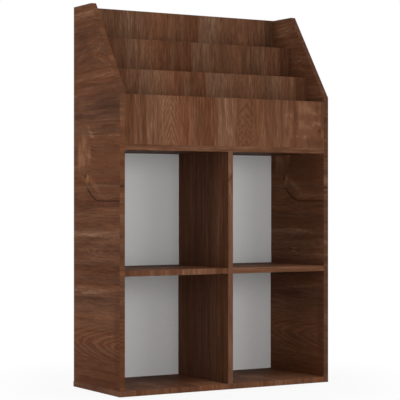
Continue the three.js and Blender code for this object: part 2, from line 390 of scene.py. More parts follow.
    def part_round_knots(self, make: Callable[..., bpy.types.Node], place: bpy.types.NodeSocket,
                         across: bpy.types.Node) -> bpy.types.Node:
        """Parts the grain round the knots.

        Args:
            make: Adds a node to the material.
            place: The point on the print.
            across: The wavy place across the print.

        Returns:
            The place across the print that the parted grain comes from.
        """
        for knot in self.figure.knots:
            distance = self.share_of_reach(make, place, knot)
            bend = make("ShaderNodeMapRange", {
                "Value": distance, "From Min": 1.0, "From Max": 0.0, "To Max": knot.push},
                interpolation_type="SMOOTHERSTEP")
            across = make("ShaderNodeMath", {0: across, 1: bend}, operation="ADD")
        return across

    def share_of_reach(self, make: Callable[..., bpy.types.Node], place: bpy.types.NodeSocket | bpy.types.Node,
                       mark: Knot | Blaze) -> bpy.types.Node:
        """Measures how far a point is from a knot or blaze.

        Args:
            make: Adds a node to the material.
            place: The point on the print.
            mark: The knot or blaze.

        Returns:
            0 at its middle and 1 where its reach ends.
        """
        offset = make("ShaderNodeVectorMath", {0: place, 1: (mark.across, mark.along, 0.0)}, operation="SUBTRACT")
        share = make("ShaderNodeVectorMath", {
            0: offset, 1: (1 / mark.reach_across, 1 / mark.reach_along, 0.0)}, operation="MULTIPLY")
        return make("ShaderNodeVectorMath", {0: share}, operation="LENGTH")

    def raise_peaks(self, make: Callable[..., bpy.types.Node], place: bpy.types.NodeSocket, across: bpy.types.Node,
                    along: bpy.types.NodeSocket, lines: bpy.types.Node) -> bpy.types.Node:
        """Draws the cathedrals over the straight lines.

        Args:
            make: Adds a node to the material.
            place: The point on the print.
            across: The bent place across the print.
            along: The place along the print.
            lines: The straight lines.

        Returns:
            The lines with the growth rings of the cathedrals in them.
        """
        wide, long = self.fibre
        stretched = make("ShaderNodeVectorMath", {0: place, 1: (1 / wide, 1 / long, 0.0)}, operation="MULTIPLY")
        fibres = make("ShaderNodeTexNoise", {"Vector": stretched, "Scale": 1.0, "Detail": 1.0})
        for heart in self.figure.hearts:
            torn = make("ShaderNodeMath", {0: fibres, 1: 2 * heart.jag, 2: along}, operation="MULTIPLY_ADD")
            behind = make("ShaderNodeMath", {
                0: torn, 1: heart.slant, 2: -heart.slant * (heart.foot + heart.jag)}, operation="MULTIPLY_ADD")
            beside = make("ShaderNodeMath", {0: across, 1: heart.across}, operation="SUBTRACT")
            side = make("ShaderNodeMath", {0: beside}, operation="ABSOLUTE")
            depth = make("ShaderNodeMath", {0: behind}, operation="ABSOLUTE")
            total = 0.0
            for arm in (side, depth):
                power = make("ShaderNodeMath", {0: arm, 1: heart.sharpness}, operation="POWER")
                total = make("ShaderNodeMath", {0: power, 1: total}, operation="ADD")
            ring = make("ShaderNodeMath", {0: total, 1: 1 / heart.sharpness}, operation="POWER")
            turn = make("ShaderNodeMath", {0: ring, 1: 2 * math.pi / heart.pitch}, operation="MULTIPLY")
            years = make("ShaderNodeMath", {0: ring, 1: 0.4 / heart.pitch}, operation="MULTIPLY")
            growth = make("ShaderNodeTexNoise", {"W": years, "Scale": 1.0, "Detail": 0.0}, noise_dimensions="1D")
            phase = make("ShaderNodeMath", {0: growth, 1: 2 * math.pi, 2: turn}, operation="MULTIPLY_ADD")
            wave = make("ShaderNodeMath", {0: phase}, operation="SINE")
            shade = make("ShaderNodeMapRange", {
                "Value": wave, "From Min": -0.2, "To Min": -0.4 * heart.contrast, "To Max": heart.contrast})
            change = make("ShaderNodeMath", {0: lines, 1: -heart.hide, 2: shade}, operation="MULTIPLY_ADD")
            near = make("ShaderNodeMapRange", {
                "Value": side, "From Min": heart.reach, "From Max": 0.2 * heart.reach}, interpolation_type="SMOOTHSTEP")
            lines = make("ShaderNodeMath", {0: near, 1: change, 2: lines}, operation="MULTIPLY_ADD")
        return lines

    def lay_strips(self, make: Callable[..., bpy.types.Node],
                   across: bpy.types.Node) -> tuple[bpy.types.Node, bpy.types.Node]:
        """Lays the strips of the figure beside each other.

        Args:
            make: Adds a node to the material.
            across: The bent place across the print.

        Returns:
            Each point's tone, and its hue with a drift by chance.
        """
        first, last = self.figure.strips[0][0], self.figure.strips[-1][0]
        where = make("ShaderNodeMapRange", {"Value": across, "From Min": first, "From Max": last})
        places = [(strip[0] - first) / (last - first) for strip in self.figure.strips]
        tone, hue = (make("ShaderNodeValToRGB", {"Fac": where}, stops=[
            (spot, strip[part]) for spot, strip in zip(places, self.figure.strips)]) for part in (1, 2))
        width, far = self.hue_drift
        slow = make("ShaderNodeMath", {0: across, 1: 1 / width}, operation="MULTIPLY")
        chance = make("ShaderNodeTexNoise", {"W": slow, "Scale": 1.0, "Detail": 1.0}, noise_dimensions="1D")
        shift = make("ShaderNodeMath", {0: chance, 1: far, 2: -far / 2}, operation="MULTIPLY_ADD")
        return tone, make("ShaderNodeMath", {0: hue, 1: shift}, operation="ADD")

    def blaze(self, make: Callable[..., bpy.types.Node], across: bpy.types.Node, along: bpy.types.NodeSocket,
              tone: bpy.types.Node, lines: bpy.types.Node) -> bpy.types.Node:
        """Lightens and darkens the print's patches, and calms its lines there.

        Args:
            make: Adds a node to the material.
            across: The wavy place across the print.
            along: The place along the print.
            tone: The strips' tone.
            lines: The lines along the grain.

        Returns:
            The tone with the patches and the lines in it.
        """
        size, reach = self.fray
        level = make("ShaderNodeCombineXYZ", {"X": across, "Y": along})
        wisps = make("ShaderNodeTexNoise", {"Vector": level, "Scale": 1 / size, "Detail": 2.0}, noise_dimensions="2D")
        frayed = make("ShaderNodeVectorMath", {
            0: wisps.outputs["Color"], 1: (2 * reach, 2 * reach, 0.0), 2: level}, operation="MULTIPLY_ADD")
        level = make("ShaderNodeVectorMath", {0: frayed, 1: (reach, reach, 0.0)}, operation="SUBTRACT")
        across, along = make("ShaderNodeSeparateXYZ", {"Vector": level}).outputs[:2]
        for blaze in self.figure.blazes:
            place = level
            if blaze.tilt:
                lean = make("ShaderNodeMath", {
                    0: along, 1: -blaze.tilt, 2: blaze.tilt * blaze.along}, operation="MULTIPLY_ADD")
                moved = make("ShaderNodeMath", {0: across, 1: lean}, operation="ADD")
                place = make("ShaderNodeCombineXYZ", {"X": moved, "Y": along})
            distance = self.share_of_reach(make, place, blaze)
            if blaze.calm:
                left = make("ShaderNodeMapRange", {
                    "Value": distance, "From Min": 1.0, "From Max": 0.4, "To Min": 1.0, "To Max": 1.0 - blaze.calm},
                    interpolation_type="SMOOTHSTEP")
                lines = make("ShaderNodeMath", {0: lines, 1: left}, operation="MULTIPLY")
            patch = make("ShaderNodeMapRange", {
                "Value": distance, "From Min": 1.0, "From Max": 0.25, "To Max": blaze.tone},
                interpolation_type="SMOOTHSTEP")
            if blaze.curl:
                wide, long = blaze.curl
                stretched = make("ShaderNodeVectorMath", {0: place, 1: (1 / wide, 1 / long, 0.0)}, operation="MULTIPLY")
                noise = make("ShaderNodeTexNoise", {"Vector": stretched, "Scale": 1.0, "Detail": 1.0})
                blotch = make("ShaderNodeMapRange", {"Value": noise, "From Min": 0.38, "From Max": 0.66})
                patch = make("ShaderNodeMath", {0: patch, 1: blotch}, operation="MULTIPLY")
            tone = make("ShaderNodeMath", {0: tone, 1: patch}, operation="ADD")
        return make("ShaderNodeMath", {0: tone, 1: lines}, operation="ADD")

    def mark(self, make: Callable[..., bpy.types.Node], place: bpy.types.NodeSocket,
             axes: bpy.types.Node, colour: bpy.types.Node) -> bpy.types.Node:
        """Draws the dark cores of knots and the drying cracks.

        Args:
            make: Adds a node to the material.
            place: The point on the print.
            axes: The same point, split into across, along and through.
            colour: The colour so far.

        Returns:
            The colour with the marks on it.
        """
        across, along = axes.outputs["X"], axes.outputs["Y"]
        marks = []
        for knot in self.figure.knots:
            if knot.core:
                offset = make("ShaderNodeVectorMath", {
                    0: place, 1: (knot.across, knot.along, 0.0)}, operation="SUBTRACT")
                flat = make("ShaderNodeVectorMath", {0: offset, 1: (1.0, 1.0, 0.0)}, operation="MULTIPLY")
                distance = make("ShaderNodeVectorMath", {0: flat}, operation="LENGTH")
                marks.append(make("ShaderNodeMapRange", {
                    "Value": distance, "From Min": knot.core, "From Max": 0.3 * knot.core, "To Max": 0.8}))
        for crack in self.figure.cracks:
            part = make("ShaderNodeMapRange", {
                "Value": along, "From Min": crack.straight, "From Max": crack.start})
            curve = make("ShaderNodeMath", {0: part, 1: 1.6}, operation="POWER")
            lift = make("ShaderNodeMath", {0: curve, 1: crack.rise, 2: crack.level}, operation="MULTIPLY_ADD")
            gap = make("ShaderNodeMath", {0: across, 1: lift}, operation="SUBTRACT")
            away = make("ShaderNodeMath", {0: gap}, operation="ABSOLUTE")
            wide = make("ShaderNodeMath", {0: part, 1: 1.6 * crack.width, 2: crack.width}, operation="MULTIPLY_ADD")
            inside = make("ShaderNodeMath", {0: away, 1: wide}, operation="DIVIDE")
            line = make("ShaderNodeMapRange", {"Value": inside, "From Min": 1.0, "From Max": 0.3, "To Max": 0.8})
            begun = make("ShaderNodeMapRange", {
                "Value": along, "From Min": crack.start, "From Max": 0.8 * crack.start + 0.2 * crack.straight})
            marks.append(make("ShaderNodeMath", {0: line, 1: begun}, operation="MULTIPLY"))
        for strength in marks:
            colour = make("ShaderNodeMix", {
                "Factor": strength, "A": colour, "B": linear(self.crack_colour)}, data_type="RGBA")
        return colour


@dataclass(frozen=True)
class RawChipboard(Finish):
    """Sawn edge of chipboard: pale flakes and darker resin between them, quite matt.

    Attributes:
        flake: Size of a flake in mm.
        resin: Colour between the flakes.
        flakes: Colours of the flakes.
    """

    flake: float = 3.5
    resin: str = "#7d5f40"
    flakes: tuple[tuple[float, str], ...] = ((0.0, "#a58259"), (0.5, "#c2a075"), (1.0, "#d8bd92"))

    def dress(self, tree: bpy.types.NodeTree, shader: bpy.types.Node) -> None:
        """Lays flakes of different browns beside each other, with dark gaps.

        Args:
            tree: The material's node tree.
            shader: Its shader.
        """
        make = partial(add_node, tree)
        place = make("ShaderNodeTexCoord").outputs["Object"]
        warp = make("ShaderNodeTexNoise", {"Vector": place, "Scale": 0.4 / (self.flake * MM), "Detail": 2.0})
        moved = make("ShaderNodeVectorMath", {
            0: warp.outputs["Color"], 1: (2 * self.flake * MM,) * 3, 2: place}, operation="MULTIPLY_ADD")
        cells = make("ShaderNodeTexVoronoi", {"Vector": moved, "Scale": 1 / (self.flake * MM)})
        tone = make("ShaderNodeSeparateXYZ", {"Vector": cells.outputs["Color"]})
        flakes = make("ShaderNodeValToRGB", {"Fac": tone.outputs["X"]}, stops=self.flakes)
        gap = make("ShaderNodeMapRange", {"Value": cells.outputs["Distance"], "From Min": 0.5, "From Max": 0.85})
        colour = make("ShaderNodeMix", {"Factor": gap, "A": flakes, "B": linear(self.resin)}, data_type="RGBA")
        relief = make("ShaderNodeBump", {
            "Strength": 0.5, "Distance": 0.3 * MM, "Height": cells.outputs["Distance"]}, invert=True)
        tree.links.new(next(s for s in colour.outputs if s.enabled), shader.inputs["Base Color"])
        tree.links.new(relief.outputs[0], shader.inputs["Normal"])
        shader.inputs["Roughness"].default_value = 0.9


@dataclass(frozen=True)
class PaintedHardboard(Finish):
    """Roller-painted face of hardboard: even, slightly dappled white with a soft sheen.

    Attributes:
        paint: Range of the paint's colour, where it lies thin and thick.
        dapple: Size of the roller's dapple in mm; coarser than the real one so that it shows.
    """

    paint: tuple[tuple[float, str], ...] = ((0.3, "#f1f4f3"), (0.7, "#f6f7f7"))
    dapple: float = 6.0

    def dress(self, tree: bpy.types.NodeTree, shader: bpy.types.Node) -> None:
        """Dapples the paint's colour and surface.

        Args:
            tree: The material's node tree.
            shader: Its shader.
        """
        make = partial(add_node, tree)
        place = make("ShaderNodeTexCoord").outputs["Object"]
        dapple = make("ShaderNodeTexNoise", {"Vector": place, "Scale": 1 / (self.dapple * MM), "Detail": 4.0})
        colour = make("ShaderNodeValToRGB", {"Fac": dapple}, stops=self.paint)
        relief = make("ShaderNodeBump", {"Strength": 0.05, "Distance": 0.1 * MM, "Height": dapple})
        tree.links.new(colour.outputs[0], shader.inputs["Base Color"])
        tree.links.new(relief.outputs[0], shader.inputs["Normal"])
        shader.inputs["Roughness"].default_value = 0.5
        shader.inputs["Specular IOR Level"].default_value = 0.3


@dataclass(frozen=True)
class BareHardboard(Finish):
    """Pressed side of hardboard: mottled brown fibre with the print of the press's wire screen.

    Attributes:
        fibre: Colours of the fibres from dark to light.
        mottle: Size of a mottle in mm.
        screen: Spacing of the screen's wires in mm; coarser than the real one so that it shows.
    """

    fibre: tuple[tuple[float, str], ...] = ((0.25, "#5a3d27"), (0.5, "#775539"), (0.8, "#93714e"))
    mottle: float = 9.0
    screen: float = 2.5

    def dress(self, tree: bpy.types.NodeTree, shader: bpy.types.Node) -> None:
        """Mottles the fibre and presses the screen into it.

        Args:
            tree: The material's node tree.
            shader: Its shader.
        """
        make = partial(add_node, tree)
        place = make("ShaderNodeTexCoord").outputs["Object"]
        mottle = make("ShaderNodeTexNoise", {
            "Vector": place, "Scale": 1 / (self.mottle * MM), "Detail": 7.0, "Roughness": 0.7})
        colour = make("ShaderNodeValToRGB", {"Fac": mottle}, stops=self.fibre)
        axes = make("ShaderNodeSeparateXYZ", {"Vector": place})
        height = 0.0
        for name in ("X", "Z"):
            turn = make("ShaderNodeMath", {
                0: axes.outputs[name], 1: 2 * math.pi / (self.screen * MM)}, operation="MULTIPLY")
            wave = make("ShaderNodeMath", {0: turn}, operation="SINE")
            height = make("ShaderNodeMath", {0: wave, 1: height}, operation="ADD")
        relief = make("ShaderNodeBump", {"Strength": 0.35, "Distance": 0.2 * MM, "Height": height})
        tree.links.new(colour.outputs[0], shader.inputs["Base Color"])
        tree.links.new(relief.outputs[0], shader.inputs["Normal"])
        shader.inputs["Roughness"].default_value = 0.85
        shader.inputs["Specular IOR Level"].default_value = 0.25


@dataclass(frozen=True)
class TurnedBeech(Finish):
    """Beech rod pressed into fluted dowels: pale, pinkish, with small brown flecks.

    Attributes:
        wood: Colours of the wood from fleck to ground.
        fleck: Length of a fleck in mm.
    """

    wood: tuple[tuple[float, str], ...] = ((0.3, "#a67f55"), (0.45, "#c8a377"), (0.8, "#dabb92"))
    fleck: float = 2.5

    def dress(self, tree: bpy.types.NodeTree, shader: bpy.types.Node) -> None:
        """Flecks the wood.

        Args:
            tree: The material's node tree.
            shader: Its shader.
        """
        make = partial(add_node, tree)
        place = make("ShaderNodeTexCoord").outputs["Object"]
        fleck = make("ShaderNodeTexNoise", {"Vector": place, "Scale": 1 / (self.fleck * MM), "Detail": 4.0})
        colour = make("ShaderNodeValToRGB", {"Fac": fleck}, stops=self.wood)
        tree.links.new(colour.outputs[0], shader.inputs["Base Color"])
        shader.inputs["Roughness"].default_value = 0.7


@dataclass(frozen=True)
class BareMetal(Finish):
    """Cast or plated metal: grey and bright, dulled a little in patches.

    Attributes:
        metal: Range of the metal's colour.
        dulling: Range of its roughness.
        patch: Size of a dull patch in mm.
    """

    metal: tuple[tuple[float, str], ...] = ((0.3, "#9c9ea1"), (0.7, "#b9bbbd"))
    dulling: tuple[float, float] = (0.3, 0.5)
    patch: float = 2.0

    def dress(self, tree: bpy.types.NodeTree, shader: bpy.types.Node) -> None:
        """Dulls the metal in patches.

        Args:
            tree: The material's node tree.
            shader: Its shader.
        """
        make = partial(add_node, tree)
        place = make("ShaderNodeTexCoord").outputs["Object"]
        patch = make("ShaderNodeTexNoise", {"Vector": place, "Scale": 1 / (self.patch * MM), "Detail": 3.0})
        colour = make("ShaderNodeValToRGB", {"Fac": patch}, stops=self.metal)
        dull = make("ShaderNodeMapRange", {"Value": patch, "To Min": self.dulling[0], "To Max": self.dulling[1]})
        tree.links.new(colour.outputs[0], shader.inputs["Base Color"])
        tree.links.new(dull.outputs[0], shader.inputs["Roughness"])
        shader.inputs["Metallic"].default_value = 1.0


# The sides' print: grain from front to rear, a knot with a plume and a drying crack, a cathedral low down
SIDE_FIGURE = Figure(
    strips=(
        (0.0, 0.40, 0.85), (60.0, 0.42, 0.85), (100.0, 0.49, 0.8), (150.0, 0.57, 0.75), (200.0, 0.60, 0.65),
        (240.0, 0.52, 0.5), (258.0, 0.42, 0.3), (285.0, 0.54, 0.6), (310.0, 0.45, 0.6), (350.0, 0.43, 0.65),
        (378.0, 0.54, 0.55), (445.0, 0.60, 0.45), (462.0, 0.50, 0.65), (530.0, 0.47, 0.7), (560.0, 0.53, 0.7),
        (620.0, 0.54, 0.75), (715.0, 0.55, 0.75), (738.0, 0.50, 0.6), (770.0, 0.53, 0.5), (800.0, 0.52, 0.35),
        (835.0, 0.53, 0.45), (862.0, 0.55, 0.75), (905.0, 0.58, 0.8), (935.0, 0.49, 0.65), (970.0, 0.52, 0.65),
        (1015.0, 0.48, 0.65), (1045.0, 0.57, 0.7), (1100.0, 0.58, 0.65)),
    hearts=(Heart(across=137.0, foot=-250.0, slant=0.17, pitch=9.5, reach=80.0, jag=18.0, contrast=0.13),),
    knots=(
        Knot(across=670.0, along=70.0, reach_across=110.0, reach_along=80.0, push=-12.0),
        Knot(across=609.0, along=66.0, reach_across=30.0, reach_along=36.0, push=12.0, core=10.0),
        Knot(across=958.0, along=10.0, reach_across=70.0, reach_along=110.0, push=-17.0)),
    blazes=(
        Blaze(684.0, 80.0, 100.0, 60.0, 0.12, calm=0.85),
        Blaze(684.0, 80.0, 84.0, 48.0, 0.15, (46.0, 18.0)),
        Blaze(668.0, 106.0, 66.0, 18.0, 0.12),
        Blaze(738.0, 34.0, 16.0, 34.0, 0.14, tilt=0.9),
        Blaze(815.0, 90.0, 30.0, 34.0, 0.10, calm=0.6),
        Blaze(783.0, 112.0, 20.0, 40.0, -0.10),
        Blaze(676.0, 41.0, 34.0, 14.0, 0.15),
        Blaze(602.0, 56.0, 22.0, 18.0, 0.2),
        Blaze(586.0, 12.0, 17.0, 58.0, 0.17, tilt=0.6, calm=0.5),
        Blaze(553.0, -60.0, 10.0, 95.0, 0.14),
        Blaze(640.0, -50.0, 70.0, 110.0, 0.0, calm=0.7),
        Blaze(555.0, 84.0, 34.0, 46.0, 0.08, calm=0.4),
        Blaze(444.0, 40.0, 13.0, 190.0, 0.16),
        Blaze(431.0, 20.0, 6.0, 150.0, -0.10),
        Blaze(398.0, 20.0, 20.0, 110.0, 0.16, (7.0, 22.0)),
        Blaze(281.0, 0.0, 6.0, 190.0, 0.18, tilt=-0.07),
        Blaze(264.0, 30.0, 9.0, 120.0, -0.12),
        Blaze(170.0, -130.0, 160.0, 30.0, -0.10),
        Blaze(812.0, -75.0, 46.0, 120.0, -0.17),
        Blaze(748.0, -80.0, 16.0, 70.0, -0.12),
        Blaze(966.0, -14.0, 46.0, 62.0, 0.18, (9.0, 15.0), calm=0.5),
        Blaze(956.0, 88.0, 10.0, 50.0, 0.13, tilt=-0.55),
        Blaze(966.0, -16.0, 5.0, 28.0, 0.15, tilt=-0.12),
        Blaze(979.0, -46.0, 5.0, 20.0, 0.11, tilt=-0.2),
        Blaze(988.0, 34.0, 6.0, 28.0, 0.14, tilt=-0.2),
        Blaze(935.0, -36.0, 6.0, 30.0, 0.09, tilt=0.25),
        Blaze(951.0, -22.0, 6.0, 30.0, -0.12),
        Blaze(1002.0, 84.0, 26.0, 55.0, -0.11),
        Blaze(1068.0, 60.0, 36.0, 110.0, 0.13, (5.0, 60.0)),
        Blaze(838.0, 0.0, 5.0, 100.0, -0.12)),
    cracks=(DryingCrack(level=539.0, rise=42.0, start=62.0, straight=-16.0, width=3.2),),
    ripple=2.2)

# The left side's edge band: the same repeat, with painted shade up the slope against the extra light that the
# upward-facing slope gets, a little lighter near the slope's foot, and a fleck near its top
LEFT_BAND_FIGURE_WITH_PAINTED_SHADE = replace(SIDE_FIGURE, blazes=(
    *SIDE_FIGURE.blazes,
    # Darker up the slope as painted shade, and a little lighter near the slope's foot
    Blaze(964.0, -20.0, 110.0, 300.0, -0.07),
    Blaze(815.0, -130.0, 60.0, 200.0, 0.06),
    Blaze(1012.0, -20.0, 6.0, 60.0, 0.12),
    Blaze(1036.0, -10.0, 26.0, 90.0, 0.13)))

# The right side's print: the same repeat, from a sheet that is lighter low down and at the top
RIGHT_FIGURE = replace(SIDE_FIGURE, hearts=(replace(SIDE_FIGURE.hearts[0], contrast=0.09),), blazes=(
    *SIDE_FIGURE.blazes,
    Blaze(525.0, -95.0, 170.0, 80.0, -0.07),
    Blaze(175.0, 95.0, 170.0, 80.0, 0.07),
    Blaze(850.0, -115.0, 40.0, 60.0, 0.08),
    Blaze(1072.0, 65.0, 50.0, 60.0, 0.06)))

# The uprights' print: strips of grey and red walnut, two cathedrals, and a knotty end on the fascia
UPRIGHT_STRIPS = (
    (-340.0, 0.43, 0.45), (-306.0, 0.42, 0.55), (-298.0, 0.49, 0.3), (-283.0, 0.50, 0.2), (-276.0, 0.42, 0.3),
    (-268.0, 0.44, 0.3), (-262.0, 0.59, 0.1), (-236.0, 0.60, 0.15), (-224.0, 0.61, 0.25), (-170.0, 0.57, 0.6),
    (-158.0, 0.54, 0.9), (-138.0, 0.46, 0.95), (-126.0, 0.46, 0.85), (-114.0, 0.51, 0.4), (-104.0, 0.46, 0.45),
    (-84.0, 0.40, 0.75), (-50.0, 0.40, 0.9), (-42.0, 0.60, 0.2), (-8.0, 0.61, 0.05), (18.0, 0.60, 0.1),
    (30.0, 0.50, 0.3), (90.0, 0.47, 0.4), (102.0, 0.52, 0.5), (118.0, 0.52, 0.5), (134.0, 0.48, 0.35),
    (180.0, 0.47, 0.1), (204.0, 0.54, 0.2), (222.0, 0.46, 0.45), (236.0, 0.46, 0.45))
UPRIGHT_HEARTS = (
    Heart(across=-188.0, foot=560.0, slant=0.28, pitch=7.5, reach=50.0, sharpness=1.2, jag=16.0, contrast=0.11),
    Heart(across=61.0, foot=540.0, slant=0.7, pitch=15.0, reach=44.0, sharpness=1.1, jag=18.0, contrast=-0.09))
FASCIA_FIGURE = Figure(
    strips=(*UPRIGHT_STRIPS, (246.0, 0.54, 0.3), (290.0, 0.51, 0.3), (332.0, 0.44, 0.4)),
    hearts=UPRIGHT_HEARTS,
    knots=(Knot(across=319.0, along=746.0, reach_across=16.0, reach_along=22.0, push=12.0, core=5.0),),
    blazes=(
        Blaze(275.0, 765.0, 66.0, 90.0, 0.0, calm=0.85),
        Blaze(236.0, 794.0, 9.0, 50.0, -0.12),
        Blaze(262.0, 812.0, 34.0, 26.0, 0.14),
        Blaze(284.0, 806.0, 16.0, 20.0, 0.10),
        Blaze(256.0, 764.0, 18.0, 18.0, 0.14),
        Blaze(276.0, 757.0, 20.0, 11.0, 0.14),
        Blaze(308.0, 767.0, 24.0, 9.0, 0.20, tilt=-0.8),
        Blaze(302.0, 797.0, 22.0, 6.0, 0.14, tilt=0.9),
        Blaze(313.0, 815.0, 14.0, 10.0, -0.08),
        Blaze(328.0, 738.0, 7.0, 18.0, 0.18),
        Blaze(300.0, 711.0, 38.0, 21.0, -0.13),
        Blaze(270.0, 727.0, 13.0, 5.0, 0.16),
        Blaze(238.0, 729.0, 7.0, 6.0, 0.14),
        Blaze(216.0, 745.0, 11.0, 46.0, 0.08, calm=0.5),
        Blaze(210.0, 791.0, 19.0, 5.0, 0.14)),
    ripple=1.6)

# Behind the fascia the cathedrals are fainter, and each board's right end, beside the right side, is darkened as
# painted shade
RISER_HEARTS = tuple(replace(heart, contrast=0.5 * heart.contrast, jag=30.0, hide=0.3) for heart in UPRIGHT_HEARTS)
RISER_FIGURE_WITH_PAINTED_SHADE = Figure(
    # The stops from 271 on darken the board's right end as painted shade
    strips=(*UPRIGHT_STRIPS, (264.0, 0.47, 0.4), (271.0, 0.36, 0.5), (310.0, 0.36, 0.5)),
    hearts=RISER_HEARTS, ripple=1.6)
BACK_FIGURE_WITH_PAINTED_SHADE = Figure(
    strips=((-442.0, 0.58, 0.1), (-392.0, 0.58, 0.1), (-376.0, 0.52, 0.2), (-364.0, 0.43, 0.35), (-340.0, 0.43, 0.3),
            (-322.0, 0.54, 0.1), (-284.0, 0.59, 0.1), (-262.0, 0.51, 0.15), (-226.0, 0.53, 0.4), (-204.0, 0.55, 0.8),
            (-182.0, 0.57, 0.85), (-166.0, 0.48, 0.7), (-140.0, 0.53, 0.45), (-118.0, 0.45, 0.5),
            # The stops from 196 on darken the board's right end as painted shade
            *UPRIGHT_STRIPS[14:25], (160.0, 0.46, 0.4), (190.0, 0.45, 0.2), (196.0, 0.34, 0.1), (230.0, 0.33, 0.1)),
    hearts=RISER_HEARTS, ripple=1.6)

# The divider: straight grain in broad dull strips
PLAIN_FIGURE = Figure(
    strips=(
        (255.0, 0.52, 0.7), (290.0, 0.50, 0.7), (305.0, 0.57, 0.5), (345.0, 0.55, 0.45), (356.0, 0.46, 0.45),
        (400.0, 0.46, 0.4), (412.0, 0.53, 0.35), (460.0, 0.52, 0.35), (470.0, 0.45, 0.6), (540.0, 0.45, 0.6)),
    ripple=2.0)

# The level boards: straight grain from a lighter part of the print
LEVEL_FIGURE = Figure(
    strips=(
        (-440.0, 0.60, 0.5), (-330.0, 0.52, 0.4), (-270.0, 0.70, 0.5), (-200.0, 0.62, 0.6), (-120.0, 0.68, 0.4),
        (-20.0, 0.54, 0.6), (60.0, 0.69, 0.7), (130.0, 0.55, 0.5), (220.0, 0.70, 0.5), (300.0, 0.66, 0.5),
        (420.0, 0.63, 0.65), (1050.0, 0.63, 0.65), (1200.0, 0.66, 0.4), (1300.0, 0.66, 0.4), (1450.0, 0.61, 0.6)),
    blazes=(
        Blaze(1250.0, 175.0, 3.0, 90.0, -0.2, tilt=0.012),
        Blaze(1256.0, 190.0, 3.0, 110.0, 0.12),
        Blaze(1245.0, 240.0, 3.0, 90.0, 0.1)),
    ripple=2.0)

# Their faces: the level print with painted shade towards the rear of each board, under the boards above, and painted
# light near the front
SHELF_PAINTED_LIGHT_AND_SHADE_FIGURE = replace(LEVEL_FIGURE, blazes=(
    # Base: painted shade along its rear, painted light near its front and middle, and deeper painted shade in patches
    # at its rear
    Blaze(0.0, 170.0, 3000.0, 190.0, -0.24),
    Blaze(40.0, -65.0, 75.0, 75.0, 0.13),
    Blaze(345.0, -65.0, 90.0, 75.0, 0.10),
    Blaze(250.0, 25.0, 60.0, 60.0, 0.14),
    Blaze(-110.0, 30.0, 70.0, 60.0, 0.10),
    Blaze(-15.0, 155.0, 85.0, 80.0, -0.14),
    Blaze(345.0, 165.0, 90.0, 70.0, -0.12),
    # Left shelf: painted shade along its rear, deeper in patches
    Blaze(0.0, -870.0, 3000.0, 180.0, -0.24),
    Blaze(-115.0, -930.0, 140.0, 80.0, -0.2),
    Blaze(-165.0, -925.0, 75.0, 70.0, -0.14),
    # Right shelf: painted shade towards its rear, painted light near its front
    Blaze(1060.0, 1175.0, 200.0, 3000.0, -0.26),
    Blaze(965.0, 1250.0, 110.0, 90.0, -0.18),
    Blaze(775.0, 1245.0, 90.0, 100.0, 0.14)))

# A greyer edge band, from another roll
GREY_FIGURE = Figure(
    strips=((0.0, 0.42, 0.2), (1150.0, 0.42, 0.2), (1300.0, 0.64, 0.2)),
    blazes=(
        Blaze(558.0, -140.0, 14.0, 60.0, 0.16),
        Blaze(2008.0, 606.0, 3.5, 20.0, -0.3, tilt=0.5),
        Blaze(2006.0, 632.0, 6.0, 24.0, 0.12),
        Blaze(2004.0, 572.0, 5.0, 40.0, 0.12),
        Blaze(2013.0, 580.0, 5.0, 26.0, -0.12)),
    cracks=(DryingCrack(level=538.0, rise=0.0, start=0.0, straight=-100.0, width=6.0),), ripple=2.0)

# Duller tints, for boards from a greyer sheet
DULL_HUES = ((0.0, "#d2d4e6"), (0.5, "#fafdff"), (1.0, "#ffe9d4"))

# Tints from grey to red, for the uprights and, warmer, for the fascia
STRIP_HUES = ((0.0, "#e9f6ff"), (0.5, "#fffefc"), (1.0, "#fff4eb"))
WARM_HUES = ((0.0, "#f4faff"), (0.5, "#fffcf7"), (1.0, "#fff0e4"))

# Darker tints, for edge bands
BAND_HUES = ((0.0, "#ccc8d2"), (0.5, "#f1efed"), (1.0, "#f1d5ba"))

# A calmer print, with fainter lines, one whose strips take the place of broad bands, and one with shorter lines
CALM_GRAIN = (Grain(45.0, 700.0, 0.3), Grain(13.0, 300.0, 0.28), Grain(4.8, 90.0, 0.34), Grain(2.4, 30.0, 0.26))
UPRIGHT_GRAIN = (Grain(13.0, 220.0, 0.32), Grain(4.8, 90.0, 0.5), Grain(2.4, 34.0, 0.4))
SHORT_GRAIN = (Grain(13.0, 160.0, 0.28), Grain(4.8, 60.0, 0.44), Grain(2.4, 26.0, 0.38))

# The uprights' grain hardly wanders
UPRIGHT_DRIFT = (120.0, 520.0, 4.0)

WALNUT = "walnut_melamine"
LEFT_WALNUT = WalnutMelamine("walnut melamine, left side", WALNUT, figure=SIDE_FIGURE, strip_weight=1.05)
LEFT_BAND = WalnutMelamine("walnut edge band, left side", WALNUT, figure=LEFT_BAND_FIGURE_WITH_PAINTED_SHADE, hues=DULL_HUES,
                           grain=CALM_GRAIN, strip_weight=0.45, lift=-0.015)
RIGHT_WALNUT = WalnutMelamine("walnut melamine, right side", WALNUT, figure=RIGHT_FIGURE, hues=DULL_HUES,
                              grain=CALM_GRAIN, strip_weight=0.6, lift=0.005)
FASCIA_WALNUT = WalnutMelamine("walnut melamine, fascia", WALNUT, figure=FASCIA_FIGURE, hues=WARM_HUES,
                               grain=UPRIGHT_GRAIN, drift=UPRIGHT_DRIFT, hue_drift=(22.0, 0.35), strip_weight=1.0,
                               fray=(14.0, 10.0), lift=0.03)
RISER_WALNUT = replace(FASCIA_WALNUT, name="walnut melamine, middle riser", figure=RISER_FIGURE_WITH_PAINTED_SHADE, hues=STRIP_HUES,
                       grain=SHORT_GRAIN, strip_weight=1.05, lift=0.05)
REAR_WALNUT = replace(RISER_WALNUT, name="walnut melamine, rear riser", lift=-0.035)
